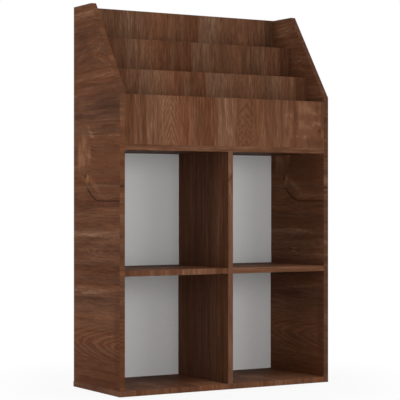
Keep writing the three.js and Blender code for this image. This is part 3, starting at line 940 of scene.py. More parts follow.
BACK_WALNUT = replace(RISER_WALNUT, name="walnut melamine, upper back", figure=BACK_FIGURE_WITH_PAINTED_SHADE, lift=0.04)
PLAIN_WALNUT = WalnutMelamine("walnut melamine, divider", WALNUT, figure=PLAIN_FIGURE, hues=DULL_HUES, lift=-0.03)
# The deck: the divider's print, darkened all over as painted shade for its shaded underside
DECK_PAINTED_SHADE_WALNUT = replace(PLAIN_WALNUT, name="walnut melamine, deck, painted shade", lift=-0.2)
# Level boards: their faces carry painted shade at the rear and painted light at the front
LEVEL_WALNUT = WalnutMelamine("walnut melamine, level boards", WALNUT, figure=SHELF_PAINTED_LIGHT_AND_SHADE_FIGURE)
LEVEL_BAND = WalnutMelamine("walnut edge band, level boards", WALNUT, figure=LEVEL_FIGURE, hues=BAND_HUES,
                            hue_drift=(30.0, 1.1))
GREY_BAND = WalnutMelamine("walnut edge band, greyer roll", WALNUT, figure=GREY_FIGURE, hues=DULL_HUES,
                           grain=CALM_GRAIN, lift=0.03)
CHIPBOARD = RawChipboard("raw chipboard edge", WALNUT)
WHITE_FACE = PaintedHardboard("white painted hardboard", "white_hardboard")
BROWN_FACE = BareHardboard("bare hardboard", "white_hardboard")
BEECH = TurnedBeech("fluted beech", "beech_dowel")
ZINC = BareMetal("die-cast zinc", "zinc_cam", dulling=(0.4, 0.6))
STEEL = BareMetal("zinc-plated steel", "steel_fastener", metal=((0.3, "#a9aaab"), (0.7, "#c6c7c8")))


def new_piece(name: str, shape: bmesh.types.BMesh, *finishes: Finish) -> bpy.types.Object:
    """Makes a shape a piece of the rack that rides on its body.

    Args:
        name: The piece's name.
        shape: Its shape in metres, which is used up.
        *finishes: Its finishes, in the order of its material slots.

    Returns:
        The piece.
    """
    bmesh.ops.recalc_face_normals(shape, faces=shape.faces)
    mesh = bpy.data.meshes.new(name)
    shape.to_mesh(mesh)
    shape.free()
    for finish in finishes:
        mesh.materials.append(finish.material())
    piece = bpy.data.objects.new(name, mesh)
    bpy.context.scene.collection.objects.link(piece)
    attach(piece, BODY)
    LOG.info("%s: %d faces", name, len(mesh.polygons))
    return piece


def carve(piece: bpy.types.Object, cutter: bmesh.types.BMesh) -> None:
    """Cuts a shape out of a piece.

    Args:
        piece: The piece, whose mesh is replaced.
        cutter: The closed shape to cut out, which is used up.
    """
    bmesh.ops.recalc_face_normals(cutter, faces=cutter.faces)
    mesh = bpy.data.meshes.new("cutter")
    cutter.to_mesh(mesh)
    cutter.free()
    tool = bpy.data.objects.new("cutter", mesh)
    bpy.context.scene.collection.objects.link(tool)
    cut = piece.modifiers.new("carve", "BOOLEAN")
    cut.operation = "DIFFERENCE"
    cut.solver = "EXACT"
    cut.object = tool
    whole = piece.data
    carved = bpy.data.meshes.new_from_object(piece.evaluated_get(bpy.context.evaluated_depsgraph_get()))
    piece.modifiers.clear()
    piece.data = carved
    carved.name = whole.name
    bpy.data.objects.remove(tool)
    bpy.data.meshes.remove(mesh)
    bpy.data.meshes.remove(whole)


def add_prism(shape: bmesh.types.BMesh, ends: Sequence[Sequence[Vector]]) -> list[list[bmesh.types.BMVert]]:
    """Adds a straight prism to a shape.

    Args:
        shape: The shape that gets it.
        ends: The outline at either end, corner by corner.

    Returns:
        The corners made at either end.
    """
    near, far = ([shape.verts.new(corner) for corner in end] for end in ends)
    shape.faces.new(near)
    shape.faces.new(far)
    for number, corner in enumerate(near):
        before = number - 1
        shape.faces.new((near[before], corner, far[number], far[before]))
    return [near, far]


def add_turned(shape: bmesh.types.BMesh, rings: Iterable[Ring], sides: int, stand: Matrix) -> None:
    """Adds a turned piece to a shape, closed at its first and last ring.

    Args:
        shape: The shape that gets it.
        rings: Its rings from end to end, in mm.
        sides: Corners round each ring.
        stand: Where it stands: from mm along its own Z to metres in the rack.
    """
    angles = [2 * math.pi * step / sides for step in range(sides)]
    loops = [[shape.verts.new(stand @ Vector((radius(a) * math.cos(a), radius(a) * math.sin(a), height)))
              for a in angles] for height, radius in rings]
    for lower, upper in zip(loops, loops[1:]):
        for number in range(sides):
            before = number - 1
            shape.faces.new((lower[before], lower[number], upper[number], upper[before]))
    shape.faces.new(loops[0])
    shape.faces.new(loops[-1])


def round_ring(height: float, radius: float) -> Ring:
    """Returns a plain round ring."""
    return height, lambda angle: radius


def inset_outline(outline: Sequence[Vector], insets: Sequence[float]) -> list[Vector]:
    """Moves each edge of an outline inwards.

    Args:
        outline: Corners, anticlockwise.
        insets: How far the edge that starts at each corner moves.

    Returns:
        The new corners.
    """
    corners = []
    for number, corner in enumerate(outline):
        here = outline[(number + 1) % len(outline)] - corner
        back = corner - outline[number - 1]
        inward_here = Vector((-here.y, here.x)).normalized() * insets[number]
        inward_back = Vector((-back.y, back.x)).normalized() * insets[number - 1]
        start = corner + inward_back
        gap = corner + inward_here - start
        turn = back.x * here.y - back.y * here.x
        corners.append(start + back * ((gap.x * here.y - gap.y * here.x) / turn))
    return corners


@dataclass
class Fastener:
    """A fastener that stands for one CAD fastener.

    Attributes:
        node: The CAD node.
        ahead: The way it points, from its first ring to its last.
        clearance: Gap to its hole all round, in mm.
        end_room: How far its hole goes on past a blind end, in mm.
        sides: Corners round it.
    """

    node: str
    ahead: Vector
    clearance: float = 0.3
    end_room: float = 1.0
    sides: int = 32

    def __post_init__(self) -> None:
        """Reads its place and size from the frame."""
        self.low, self.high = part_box(self.node)
        spans = (self.high - self.low) / MM
        self.length = abs(spans.dot(self.ahead))
        self.radius = max(s for s, a in zip(spans, self.ahead) if abs(a) < 0.5) / 2

    def stand(self) -> Matrix:
        """Returns the matrix from mm along its own Z to metres in the rack."""
        foot = (self.low + self.high) / 2 - self.ahead * (self.length / 2 * MM)
        turn = self.ahead.to_track_quat("Z", "Y").to_matrix().to_4x4()
        return Matrix.Translation(foot) @ turn @ Matrix.Scale(MM, 4)

    def rings(self) -> list[Ring]:
        """Returns the fastener's rings in mm."""
        raise NotImplementedError

    def bore(self) -> list[Ring]:
        """Returns the rings of its hole in mm."""
        wide = self.radius + self.clearance
        return [round_ring(-self.end_room, wide), round_ring(self.length + self.end_room, wide)]

    def build(self, finish: Finish) -> bpy.types.Object:
        """Builds the fastener in place of its CAD node.

        Args:
            finish: Its finish.

        Returns:
            The piece.
        """
        shape = bmesh.new()
        add_turned(shape, self.rings(), self.sides, self.stand())
        piece = new_piece(f"{self.node}_fitted", shape, finish)
        piece.data.shade_smooth()
        piece.data.set_sharp_from_angle(angle=math.radians(35))
        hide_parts(self.node)
        return piece


@dataclass
class Dowel(Fastener):
    """A fluted beech dowel with chamfered ends.

    Attributes:
        chamfer: Chamfer at each end in mm.
        flutes: Number of flutes.
        flute_depth: Depth of a flute in mm.
    """

    chamfer: float = 1.0
    flutes: int = 18
    flute_depth: float = 0.3
    sides: int = 72

    def rings(self) -> list[Ring]:
        """Returns a fluted rod with a chamfer at either end."""
        def fluted(radius: float) -> Callable[[float], float]:
            return lambda angle: radius - self.flute_depth * (0.5 - 0.5 * math.cos(self.flutes * angle))

        tip = fluted(self.radius - self.chamfer)
        rod = fluted(self.radius)
        return [(0.0, tip), (self.chamfer, rod), (self.length - self.chamfer, rod), (self.length, tip)]


@dataclass(frozen=True)
class Thread:
    """A screw thread.

    Attributes:
        start: Height of its first turn in mm.
        end: Height of its last turn in mm.
        core: Radius between the turns in mm.
        crest: Radius at the crest in mm.
        pitch: Height of a turn in mm.
        flank: Share of the pitch that each flank takes up.
        steps: Rings to each turn.
    """

    start: float
    end: float
    core: float
    crest: float
    pitch: float
    flank: float = 0.24
    steps: int = 8

    def rings(self) -> list[Ring]:
        """Returns rings whose crest climbs round the core."""
        count = round((self.end - self.start) / self.pitch * self.steps)
        heights = [self.start + (self.end - self.start) * step / count for step in range(count + 1)]
        return [(height, partial(self.radius, height)) for height in heights]

    def radius(self, height: float, angle: float) -> float:
        """Returns the thread's radius at a height and an angle."""
        turn = (height / self.pitch - angle / (2 * math.pi)) % 1.0
        ridge = max(0.0, 1.0 - abs(turn - 0.5) / self.flank)
        runout = min(1.0, (height - self.start) / self.pitch, (self.end - height) / self.pitch)
        return self.core + (self.crest - self.core) * ridge * max(0.0, runout)


@dataclass
class BaseScrew(Fastener):
    """A countersunk carcass screw with a six-sided socket.

    Attributes:
        rim: Height of the head's rim in mm.
        cone: Height of the head's cone in mm.
        shank: Radius and length of the plain shank in mm.
        thread: Core radius, crest radius and pitch of the thread in mm.
        tip: Length of the point in mm.
        socket: Half width across the socket's flats, and its depth, in mm.
        edge: Rounding of the head's rim in mm.
    """

    rim: float = 0.6
    cone: float = 2.4
    shank: tuple[float, float] = (3.5, 13.0)
    thread: tuple[float, float, float] = (2.2, 2.9, 4.0)
    tip: float = 4.0
    socket: tuple[float, float] = (2.0, 2.2)
    edge: float = 0.25
    sides: int = 36

    def rings(self) -> list[Ring]:
        """Returns the screw from the bottom of its socket to its point."""
        half, depth = self.socket

        def hexagon(angle: float) -> float:
            return half / math.cos((angle + math.pi / 6) % (math.pi / 3) - math.pi / 6)

        shank_radius, shank_length = self.shank
        core, crest, pitch = self.thread
        neck = self.rim + self.cone
        shank_end = neck + shank_length
        point = self.length - self.tip
        return [
            (depth, hexagon),
            (0.0, hexagon),
            round_ring(0.0, self.radius - self.edge),
            round_ring(self.edge, self.radius),
            round_ring(self.rim, self.radius),
            round_ring(neck, shank_radius),
            round_ring(shank_end - self.edge, shank_radius),
            round_ring(shank_end, core),
            *Thread(shank_end + self.edge, point, core, crest, pitch).rings(),
            round_ring(self.length, self.edge),
        ]

    def bore(self) -> list[Ring]:
        """Returns the countersunk hole, open below."""
        gap = self.clearance
        shank_radius, shank_length = self.shank
        neck = self.rim + self.cone
        shank_end = neck + shank_length + gap
        return [
            round_ring(-self.end_room, self.radius + gap),
            round_ring(self.rim, self.radius + gap),
            round_ring(neck, shank_radius + gap),
            round_ring(shank_end, shank_radius + gap),
            round_ring(shank_end, self.thread[1] + gap),
            round_ring(self.length + gap, self.thread[1] + gap),
        ]


@dataclass
class CamBolt(Fastener):
    """A cam bolt: threaded foot, collar, shank and the head that the cam hooks.

    Attributes:
        foot: Core radius, crest radius, length and pitch of the threaded foot in mm.
        collar: Thickness of the collar in mm.
        shank: Radius of the shank in mm.
        head: Radius and length of the head in mm.
        taper: Length of the tapers in mm.
        hole: Radius of the hole in the board that the cam is in, in mm.
    """

    foot: tuple[float, float, float, float] = (2.2, 3.0, 11.0, 2.8)
    collar: float = 2.0
    shank: float = 2.5
    head: tuple[float, float] = (3.4, 4.5)
    taper: float = 1.2
    hole: float = 4.0

    def rings(self) -> list[Ring]:
        """Returns the bolt from the end of its thread to its head."""
        core, crest, foot, pitch = self.foot
        head_radius, head_length = self.head
        head_start = self.length - head_length
        return [
            round_ring(0.0, core - self.taper),
            *Thread(self.taper, foot, core, crest, pitch).rings(),
            round_ring(foot, self.radius),
            round_ring(foot + self.collar, self.radius),
            round_ring(foot + self.collar + self.taper, self.shank),
            round_ring(head_start - self.taper, self.shank),
            round_ring(head_start, head_radius),
            round_ring(self.length - self.taper, head_radius),
            round_ring(self.length, head_radius - self.taper),
        ]

    def bore(self) -> list[Ring]:
        """Returns the pilot hole of the foot and the wider hole of the shank."""
        foot = self.foot[2]
        pilot = self.foot[1] + self.clearance
        return [
            round_ring(-self.end_room, pilot),
            round_ring(foot - self.clearance, pilot),
            round_ring(foot - self.clearance, self.hole),
            round_ring(self.length, self.hole),
        ]


@dataclass
class Cam(Fastener):
    """A die-cast cam: a round plug with a cross for the driver and a pocket for its bolt.

    Attributes:
        bolt: The bolt that it hooks.
        cross: Length, width and depth of the driver's cross in mm.
        edge: Rounding of its face's rim in mm.
    """

    bolt: CamBolt | None = None
    cross: tuple[float, float, float] = (8.0, 1.8, 2.0)
    edge: float = 0.4
    sides: int = 96

    def rings(self) -> list[Ring]:
        """Returns the cam from its inner end to the bottom of its cross."""
        long, wide, depth = self.cross

        def plus(angle: float) -> float:
            folded = abs((angle + math.pi / 4) % (math.pi / 2) - math.pi / 4)
            flank = wide / 2 / math.sin(folded) if folded > 1e-6 else long
            return min(long / 2 / math.cos(folded), flank)

        return [
            round_ring(0.0, self.radius - self.edge),
            round_ring(self.edge, self.radius),
            round_ring(self.length - self.edge, self.radius),
            round_ring(self.length, self.radius - self.edge),
            (self.length, plus),
            (self.length - depth, plus),
        ]

    def bore(self) -> list[Ring]:
        """Returns the seat, open at the board's face."""
        wide = self.radius + self.clearance
        return [round_ring(-self.clearance, wide), round_ring(self.length + self.end_room, wide)]

    def build(self, finish: Finish) -> bpy.types.Object:
        """Builds the cam and hollows it for its bolt.

        Args:
            finish: Its finish.

        Returns:
            The piece.
        """
        piece = super().build(finish)
        pocket = bmesh.new()
        gap = self.bolt.clearance
        grown = [(height, lambda angle, radius=radius: radius(angle) + gap) for height, radius in self.bolt.rings()]
        add_turned(pocket, grown, self.bolt.sides, self.bolt.stand())
        carve(piece, pocket)
        return piece


@dataclass
class Joinery:
    """All the hidden fasteners: dowels, cams with their bolts, and the screws up through the base.

    Attributes:
        fasteners: The fasteners with their finishes.
    """

    fasteners: list[tuple[Fastener, Finish]] = field(default_factory=list)

    def collect(self) -> None:
        """Finds the fasteners among the frame's nodes."""
        for node in sorted(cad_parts):
            low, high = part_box(node)
            inward = Vector((-1 if (low + high).x > 0 else 1, 0, 0))
            if "dowel" in node:
                spans = high - low
                longest = max(Axis, key=lambda axis: spans[axis.value])
                ahead = Vector([float(axis is longest) for axis in Axis])
                self.fasteners.append((Dowel(node, ahead), BEECH))
            elif "screw" in node:
                self.fasteners.append((BaseScrew(node, Vector(Facing.UP.value)), STEEL))
            elif "cam_bolt" in node:
                bolt = CamBolt(node, inward)
                cam_node = node.replace("cam_bolt", "cam")
                seat = Facing.DOWN if node.startswith("deck") else Facing.REAR
                self.fasteners.append((bolt, STEEL))
                self.fasteners.append((Cam(cam_node, Vector(seat.value), bolt=bolt), ZINC))

    def build(self) -> None:
        """Builds every fastener."""
        for fastener, finish in self.fasteners:
            fastener.build(finish)

    def drill(self, piece: bpy.types.Object, node: str) -> None:
        """Drills a board for the fasteners that reach into it.

        Args:
            piece: The board.
            node: The CAD node that it stands for.
        """
        low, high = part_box(node)
        bores = bmesh.new()
        for fastener, _ in self.fasteners:
            reach = fastener.clearance * MM
            if all(fastener.low[i] - reach < high[i] and fastener.high[i] + reach > low[i] for i in range(3)):
                add_turned(bores, fastener.bore(), 24, fastener.stand())
        if bores.faces:
            carve(piece, bores)
        else:
            bores.free()


@dataclass
class Board:
    """A melamine-faced chipboard, edge-banded where it shows, that stands for one CAD board.

    Attributes:
        node: The CAD node.
        thickness: The axis through the board.
        across: The axis across its grain.
        along: The axis along its grain.
        finish: Its walnut print.
        banded: The ways that its banded edges face.
        shift: Slides the print across and along the board, in mm.
        band_shift: The same for the edge bands.
        band_across: The axis across the grain of its edge bands, where it isn't the board's.
        outline: Its corners where it isn't a rectangle, in metres along the two other axes.
        band_finish: The print of its edge bands, where it isn't the board's.
        band: Thickness of the edge band in mm.
        arris: Rounding of the band's long edges in mm.
    """

    node: str
    thickness: Axis
    across: Axis
    along: Axis
    finish: WalnutMelamine
    banded: tuple[Facing, ...] = ()
    shift: tuple[float, float] = (0.0, 0.0)
    band_shift: tuple[float, float] = (0.0, 0.0)
    band_across: Axis | None = None
    outline: list[Vector] = field(default_factory=list)
    band_finish: WalnutMelamine | None = None
    band: float = 0.8
    arris: float = 0.5

    def __post_init__(self) -> None:
        """Reads the board's place from the frame and works out its outline."""
        self.low, self.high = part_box(self.node)
        self.flat = [axis for axis in Axis if axis is not self.thickness]
        if not self.outline:
            (left, foot), (right, top) = ([end[axis.value] for axis in self.flat] for end in (self.low, self.high))
            self.outline = [Vector(p) for p in ((left, foot), (right, foot), (right, top), (left, top))]

    def lift(self, corner: Vector, depth: float) -> Vector:
        """Returns a corner of the outline as a point of the rack, at a depth through the board."""
        point = Vector((depth, depth, depth))
        for axis, value in zip(self.flat, corner):
            point[axis.value] = value
        return point

    def ends(self, outline: Sequence[Vector]) -> list[list[Vector]]:
        """Returns an outline on both faces of the board."""
        return [[self.lift(corner, face[self.thickness.value]) for corner in outline] for face in (self.low, self.high)]

    def is_banded(self, number: int) -> bool:
        """Tells whether the edge that starts at a corner carries a band."""
        run = self.outline[(number + 1) % len(self.outline)] - self.outline[number]
        outward = self.lift(Vector((run.y, -run.x)).normalized(), 0.0)
        return any(outward.dot(Vector(facing.value)) > 0.6 for facing in self.banded)

    def build(self, joinery: Joinery) -> None:
        """Builds the drilled board and its edge bands.

        Args:
            joinery: What drills it.
        """
        band = self.band * MM
        insets = [band if self.is_banded(number) else 0.0 for number in range(len(self.outline))]
        inner = inset_outline(self.outline, insets)
        shape = bmesh.new()
        add_prism(shape, self.ends(inner))
        board = new_piece(f"{self.node}_board", shape, self.finish, CHIPBOARD)
        joinery.drill(board, self.node)
        self.face_with_print(board)
        self.lay_print(board, self.across, self.shift)
        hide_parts(self.node)
        if any(insets):
            self.build_bands(inner, insets)

    def build_bands(self, inner: Sequence[Vector], insets: Sequence[float]) -> None:
        """Builds the edge bands, mitred where two meet.

        Args:
            inner: The outline under the bands.
            insets: Each edge's band in metres, 0 where there is none.
        """
        shape = bmesh.new()
        arrises = []
        for number, inset in enumerate(insets):
            if inset:
                after = (number + 1) % len(insets)
                strip = [self.outline[number], self.outline[after], inner[after], inner[number]]
                arrises += [shape.edges.get(end[:2]) for end in add_prism(shape, self.ends(strip))]
        bmesh.ops.bevel(shape, geom=arrises, offset=self.arris * MM, segments=2, profile=0.5, affect="EDGES")
        bands = new_piece(f"{self.node}_edge_band", shape, self.band_finish or self.finish)
        self.lay_print(bands, self.band_across or self.across, self.band_shift)

    def face_with_print(self, board: bpy.types.Object) -> None:
        """Leaves the print on the two faces and bare chipboard everywhere else."""
        axis = self.thickness.value
        faces = (self.low[axis], self.high[axis])
        for polygon in board.data.polygons:
            level = abs(polygon.normal[axis]) > 0.99
            skin = level and min(abs(polygon.center[axis] - face) for face in faces) < 0.01 * MM
            polygon.material_index = 0 if skin else 1

    def lay_print(self, piece: bpy.types.Object, across: Axis, shift: tuple[float, float]) -> None:
        """Writes where each point lies on the walnut print.

        Args:
            piece: The piece that carries the print.
            across: The axis across its grain.
            shift: Slides the print across and along, in mm.
        """
        attribute = piece.data.attributes.new(PRINT, "FLOAT_VECTOR", "POINT")
        order = (across, self.along, next(a for a in Axis if a not in (across, self.along)))
        for vertex, value in zip(piece.data.vertices, attribute.data):
            aside, ahead, through = (vertex.co[axis.value] / MM for axis in order)
            value.vector = (aside + shift[0], ahead + shift[1], through)


@dataclass
class Carcass:
    """The cubbies: base, sides, divider, half shelves and the deck over them."""

    def side_outline(self, node: str) -> list[Vector]:
        """Reads a side's outline from the frame: upright front, slope, level top.

        Args:
            node: The side's CAD node.

        Returns:
            Its corners along Y and Z.
        """
        low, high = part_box(node)
        corners = [v.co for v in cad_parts[node].data.vertices]
        slope_foot = max(c.z for c in corners if abs(c.y - low.y) < 0.1 * MM)
        top_front = min(c.y for c in corners if abs(c.z - high.z) < 0.1 * MM)
        return [Vector(p) for p in (
            (low.y, low.z), (high.y, low.z), (high.y, high.z), (top_front, high.z), (low.y, slope_foot))]

    def divider_outline(self) -> list[Vector]:
        """Reads the divider's outline: its rear edge steps forward for the upper back sheet.

        Returns:
            Its corners along Y and Z.
        """
        low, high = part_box("centre_divider")
        sheet_low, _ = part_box("upper_back_sheet")
        return [Vector(p) for p in (
            (low.y, low.z), (high.y, low.z), (high.y, sheet_low.z), (sheet_low.y, sheet_low.z),
            (sheet_low.y, high.z), (low.y, high.z))]

    def boards(self) -> list[Board]:
        """Returns the carcass's boards."""
        x, y, z = Axis.X, Axis.Y, Axis.Z
        front = (Facing.FRONT,)
        sides = [Board(
            node, thickness=x, across=z, along=y, finish=finish, banded=(Facing.FRONT, Facing.UP),
            band_shift=(-41.0, 0.0), outline=self.side_outline(node), band_finish=band)
            for node, finish, band in (("left_side", LEFT_WALNUT, LEFT_BAND), ("right_side", RIGHT_WALNUT, GREY_BAND))]
        return [
            Board("base_panel", z, across=x, along=y, finish=LEVEL_WALNUT, shift=(90.0, 40.0), band_shift=(90.0, 40.0),
                  banded=(Facing.FRONT, Facing.LEFT, Facing.RIGHT), band_finish=LEVEL_BAND),
            *sides,
            Board("centre_divider", x, across=y, along=z, finish=PLAIN_WALNUT, banded=front, shift=(400.0, 0.0),
                  band_shift=(2000.0, 0.0), band_across=x, outline=self.divider_outline(), band_finish=GREY_BAND),
            Board("left_shelf", z, across=x, along=y, finish=LEVEL_WALNUT, banded=front, shift=(-20.0, -1000.0),
                  band_shift=(-20.0, 0.0), band_finish=LEVEL_BAND),
            Board("right_shelf", z, across=y, along=x, finish=LEVEL_WALNUT, banded=front, shift=(900.0, 1000.0),
                  band_shift=(900.0, 0.0), band_across=z, band_finish=LEVEL_BAND),
            Board("display_deck", z, across=y, along=x, finish=DECK_PAINTED_SHADE_WALNUT, banded=front, shift=(1300.0, 0.0),
                  band_shift=(1300.0, 0.0), band_across=z, band_finish=LEVEL_BAND),
        ]


@dataclass
class Display:
    """The stepped pockets: fascia, risers, pocket floors and upper back.

    Attributes:
        uprights: The boards behind the fascia, each with its finish and how far its print is slid across and
            along, in mm.
    """

    uprights: tuple[tuple[str, Finish, tuple[float, float]], ...] = (
        ("middle_riser", RISER_WALNUT, (-24.0, -150.0)), ("rear_riser", REAR_WALNUT, (-30.0, -260.0)),
        ("upper_back", BACK_WALNUT, (-108.0, -330.0)))

    def boards(self) -> list[Board]:
        """Returns the display's boards."""
        x, y, z = Axis.X, Axis.Y, Axis.Z
        top = (Facing.UP,)
        fascia = Board("front_fascia", y, across=x, along=z, finish=FASCIA_WALNUT, banded=top)
        risers = [Board(node, y, across=x, along=z, finish=finish, banded=top, shift=shift, band_shift=shift)
                  for node, finish, shift in self.uprights]
        floors = [Board(node, z, across=y, along=x, finish=PLAIN_WALNUT, shift=(1700.0, 0.0))
                  for node in ("middle_pocket_floor", "rear_pocket_floor")]
        return [fascia, *risers, *floors]


@dataclass
class BackSheet:
    """A back sheet, white in front and bare behind, with the pins that hold it.

    Attributes:
        node: The CAD node.
        pins: Where its pins are, as X and Z in metres.
        pin_length: Length of a pin in mm.
        pin_radius: Radius of a pin's shank in mm.
        head: Radius and thickness of a pin's head in mm.
        sink: How far the head is driven below the sheet's surface, in mm.
    """

    node: str
    pins: list[tuple[float, float]]
    pin_length: float = 20.0
    pin_radius: float = 0.7
    head: tuple[float, float] = (1.7, 0.6)
    sink: float = 0.15

    def pin_rings(self) -> list[Ring]:
        """Returns a panel pin from its head to its point, in mm."""
        radius, thick = self.head
        return [
            round_ring(self.sink, 0.6 * radius),
            round_ring(self.sink + 0.25 * thick, radius),
            round_ring(self.sink + thick, radius),
            round_ring(self.sink + 2 * thick, self.pin_radius),
            round_ring(self.pin_length - 2 * self.pin_radius, self.pin_radius),
            round_ring(self.pin_length, 0.2 * self.pin_radius),
        ]

    def dimple_rings(self) -> list[Ring]:
        """Returns the dimple that a driven head leaves, in mm."""
        radius, thick = self.head
        return [
            round_ring(-thick, 1.5 * radius),
            round_ring(0.0, 1.35 * radius),
            round_ring(self.sink + thick, radius + 0.05),
            round_ring(self.sink + 2 * thick, self.pin_radius + 0.05),
        ]

    def build(self) -> None:
        """Builds the sheet and its pins."""
        low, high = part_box(self.node)
        shape = bmesh.new()
        outline = [(low.x, low.z), (high.x, low.z), (high.x, high.z), (low.x, high.z)]
        add_prism(shape, [[Vector((px, y, pz)) for px, pz in outline] for y in (low.y, high.y)])
        sheet = new_piece(f"{self.node}_panel", shape, WHITE_FACE, BROWN_FACE)
        dimples = bmesh.new()
        pins = bmesh.new()
        into = Vector(Facing.FRONT.value).to_track_quat("Z", "Y").to_matrix().to_4x4()
        for px, pz in self.pins:
            stand = Matrix.Translation((px, high.y, pz)) @ into @ Matrix.Scale(MM, 4)
            add_turned(dimples, self.dimple_rings(), 16, stand)
            add_turned(pins, self.pin_rings(), 16, stand)
        carve(sheet, dimples)
        for polygon in sheet.data.polygons:
            polygon.material_index = 0 if polygon.normal.y < -0.99 and polygon.center.y < low.y + 0.01 * MM else 1
        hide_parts(self.node)
        made = new_piece(f"{self.node}_pins", pins, STEEL)
        made.data.shade_smooth()
        made.data.set_sharp_from_angle(angle=math.radians(35))


@dataclass
class BackSheets:
    """The two back sheets, pinned to the edges of the boards in front of them.

    Attributes:
        inset: How far the rows of pins stop from the ends of what they go into, in mm.
        row: Pins in a row along a deck or a pair of shelves.
        column: Pins in a column down a side or the divider.
    """

    inset: float = 34.0
    row: int = 6
    column: int = 4

    def spread(self, low: float, high: float, count: int) -> list[float]:
        """Spreads pins evenly between two ends, each inset, in metres."""
        first, last = low + self.inset * MM, high - self.inset * MM
        return [first + (last - first) * number / (count - 1) for number in range(count)]

    def middle(self, node: str, axis: Axis) -> float:
        """Returns the middle of a node along an axis."""
        low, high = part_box(node)
        return (low[axis.value] + high[axis.value]) / 2

    def build(self) -> None:
        """Builds both sheets."""
        divider = self.middle("centre_divider", Axis.X)
        deck = self.middle("display_deck", Axis.Z)
        shelf = self.middle("left_shelf", Axis.Z)
        low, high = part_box("upper_back_sheet")
        pins = [(x, deck) for x in self.spread(low.x, high.x, self.row)]
        shelf_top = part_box("left_shelf")[1].z
        deck_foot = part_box("display_deck")[0].z
        pins += [(divider, z) for z in self.spread(shelf_top, deck_foot, self.column - 1)]
        BackSheet("upper_back_sheet", pins).build()
        low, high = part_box("lower_back_sheet")
        pins = [(x, shelf) for x in self.spread(low.x, high.x, self.row)]
        shelf_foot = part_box("left_shelf")[0].z
        for x in ((low.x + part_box("left_side")[1].x) / 2, divider, (high.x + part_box("right_side")[0].x) / 2):
            pins += [(x, z) for z in self.spread(low.z, shelf_foot, self.column)]
        BackSheet("lower_back_sheet", pins).build()


@dataclass(frozen=True)
class Softbox:
    """A rectangular lamp.

    Attributes:
        name: Its name.
        place: Where it is, in metres.
        size: Its width and height in metres.
        power: Its power in watts.
    """

    name: str
    place: tuple[float, float, float]
    size: tuple[float, float]
    power: float

    def hang(self, aim: tuple[float, float, float]) -> None:
        """Hangs the lamp so that it points at a place in metres."""
        light = bpy.data.lights.new(self.name, "AREA")
        light.shape = "RECTANGLE"
        light.size, light.size_y = self.size
        light.energy = self.power
        lamp = bpy.data.objects.new(self.name, light)
        lamp.location = self.place
        beam = Vector(aim) - Vector(self.place)
        lamp.rotation_euler = beam.to_track_quat("-Z", "Y").to_euler()
        bpy.context.scene.collection.objects.link(lamp)


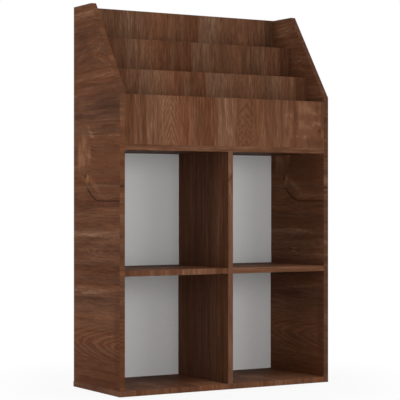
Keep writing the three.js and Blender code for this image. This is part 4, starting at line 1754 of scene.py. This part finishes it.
@dataclass
class Studio:
    """Camera, soft light and a pale floor.

    Attributes:
        camera_place: Where the camera is, in metres.
        camera_turn: How far the camera looks to the right of straight back, in degrees.
        lens: Focal length in mm on the sensor's width.
        sensor: The sensor's width in mm.
        surround: How bright the white surround lights the rack, level with it and from straight above.
        lamps: A broad softbox in front and a smaller one to its right.
        lamp_aim: What they point at, in metres.
        floor_size: Half the width of the floor in metres.
        shadow_reach: From where to where the floor fades into the white, in metres.
        shadow_share: How much of the floor's shade shows near the rack.
    """

    camera_place: tuple[float, float, float] = (-2.2801, -3.8252, 0.5419)
    camera_turn: float = 30.709
    lens: float = 136.17
    sensor: float = 36.0
    surround: tuple[float, float] = (0.43, 0.84)
    lamps: tuple[Softbox, ...] = (
        Softbox("broad softbox", (-0.5, -3.5, 0.7), (2.0, 1.6), 22.0),
        Softbox("right softbox", (1.4, -3.3, 1.0), (0.8, 0.8), 8.0))
    lamp_aim: tuple[float, float, float] = (0.0, 0.0, 0.6)
    floor_size: float = 20.0
    shadow_reach: tuple[float, float] = (0.35, 0.9)
    shadow_share: float = 0.10

    def build(self) -> None:
        """Builds the studio."""
        scene = bpy.context.scene
        scene.view_settings.view_transform = "Standard"
        camera = bpy.data.cameras.new("camera")
        camera.lens = self.lens
        camera.sensor_width = self.sensor
        stand = bpy.data.objects.new("camera", camera)
        stand.location = self.camera_place
        stand.rotation_euler = (math.radians(90), 0.0, -math.radians(self.camera_turn))
        scene.collection.objects.link(stand)
        scene.camera = stand
        for lamp in self.lamps:
            lamp.hang(self.lamp_aim)
        self.light_surround()
        self.lay_floor()

    def light_surround(self) -> None:
        """Lights the rack from all round, and shows plain white to the camera and in metal."""
        world = bpy.data.worlds.new("white surround")
        world.use_nodes = True
        bpy.context.scene.world = world
        make = partial(add_node, world.node_tree)
        path = make("ShaderNodeLightPath")
        seen = path.outputs["Is Camera Ray"]
        for name in ("Is Glossy Ray", "Is Transmission Ray"):
            seen = make("ShaderNodeMath", {0: seen, 1: path.outputs[name]}, operation="MAXIMUM")
        way = make("ShaderNodeSeparateXYZ", {"Vector": make("ShaderNodeTexCoord").outputs["Generated"]})
        level, above = self.surround
        shade = make("ShaderNodeMapRange", {"Value": way.outputs["Z"], "To Min": level, "To Max": above})
        strength = make("ShaderNodeMix", {"Factor": seen, "A": shade, "B": 1.0})
        background = world.node_tree.nodes["Background"]
        background.inputs["Color"].default_value = (1.0, 1.0, 1.0, 1.0)
        world.node_tree.links.new(strength.outputs[0], background.inputs["Strength"])

    def lay_floor(self) -> None:
        """Lays a pale floor that keeps the rack's shadow and fades into the white."""
        shape = bmesh.new()
        bmesh.ops.create_grid(shape, x_segments=1, y_segments=1, size=self.floor_size)
        mesh = bpy.data.meshes.new("floor")
        shape.to_mesh(mesh)
        shape.free()
        material = bpy.data.materials.new("pale studio floor")
        material.use_nodes = True
        tree = material.node_tree
        make = partial(add_node, tree)
        shader = tree.nodes["Principled BSDF"]
        shader.inputs["Base Color"].default_value = linear("#f4f4f4")
        shader.inputs["Roughness"].default_value = 0.9
        shader.inputs["Specular IOR Level"].default_value = 0.0
        place = make("ShaderNodeTexCoord").outputs["Object"]
        away = make("ShaderNodeVectorMath", {0: place}, operation="LENGTH")
        near, far = self.shadow_reach
        fade = make("ShaderNodeMapRange", {
            "Value": away, "From Min": near, "From Max": far, "To Min": 1.0 - self.shadow_share},
            interpolation_type="SMOOTHSTEP")
        path = make("ShaderNodeLightPath")
        seen = path.outputs["Is Camera Ray"]
        for name in ("Is Glossy Ray", "Is Transmission Ray"):
            seen = make("ShaderNodeMath", {0: seen, 1: path.outputs[name]}, operation="MAXIMUM")
        share = make("ShaderNodeMath", {0: seen, 1: fade}, operation="MULTIPLY")
        white = make("ShaderNodeEmission")
        both = make("ShaderNodeMixShader", {0: share, 1: shader, 2: white})
        tree.links.new(both.outputs[0], tree.nodes["Material Output"].inputs["Surface"])
        mesh.materials.append(material)
        floor = bpy.data.objects.new("floor", mesh)
        bpy.context.scene.collection.objects.link(floor)


def main() -> None:
    """Builds the studio and the rack."""
    logging.basicConfig(level=logging.INFO, format="%(message)s")
    Studio().build()
    joinery = Joinery()
    joinery.collect()
    for board in (*Carcass().boards(), *Display().boards()):
        board.build(joinery)
    BackSheets().build()
    joinery.build()


if __name__ == "__main__":
    main()
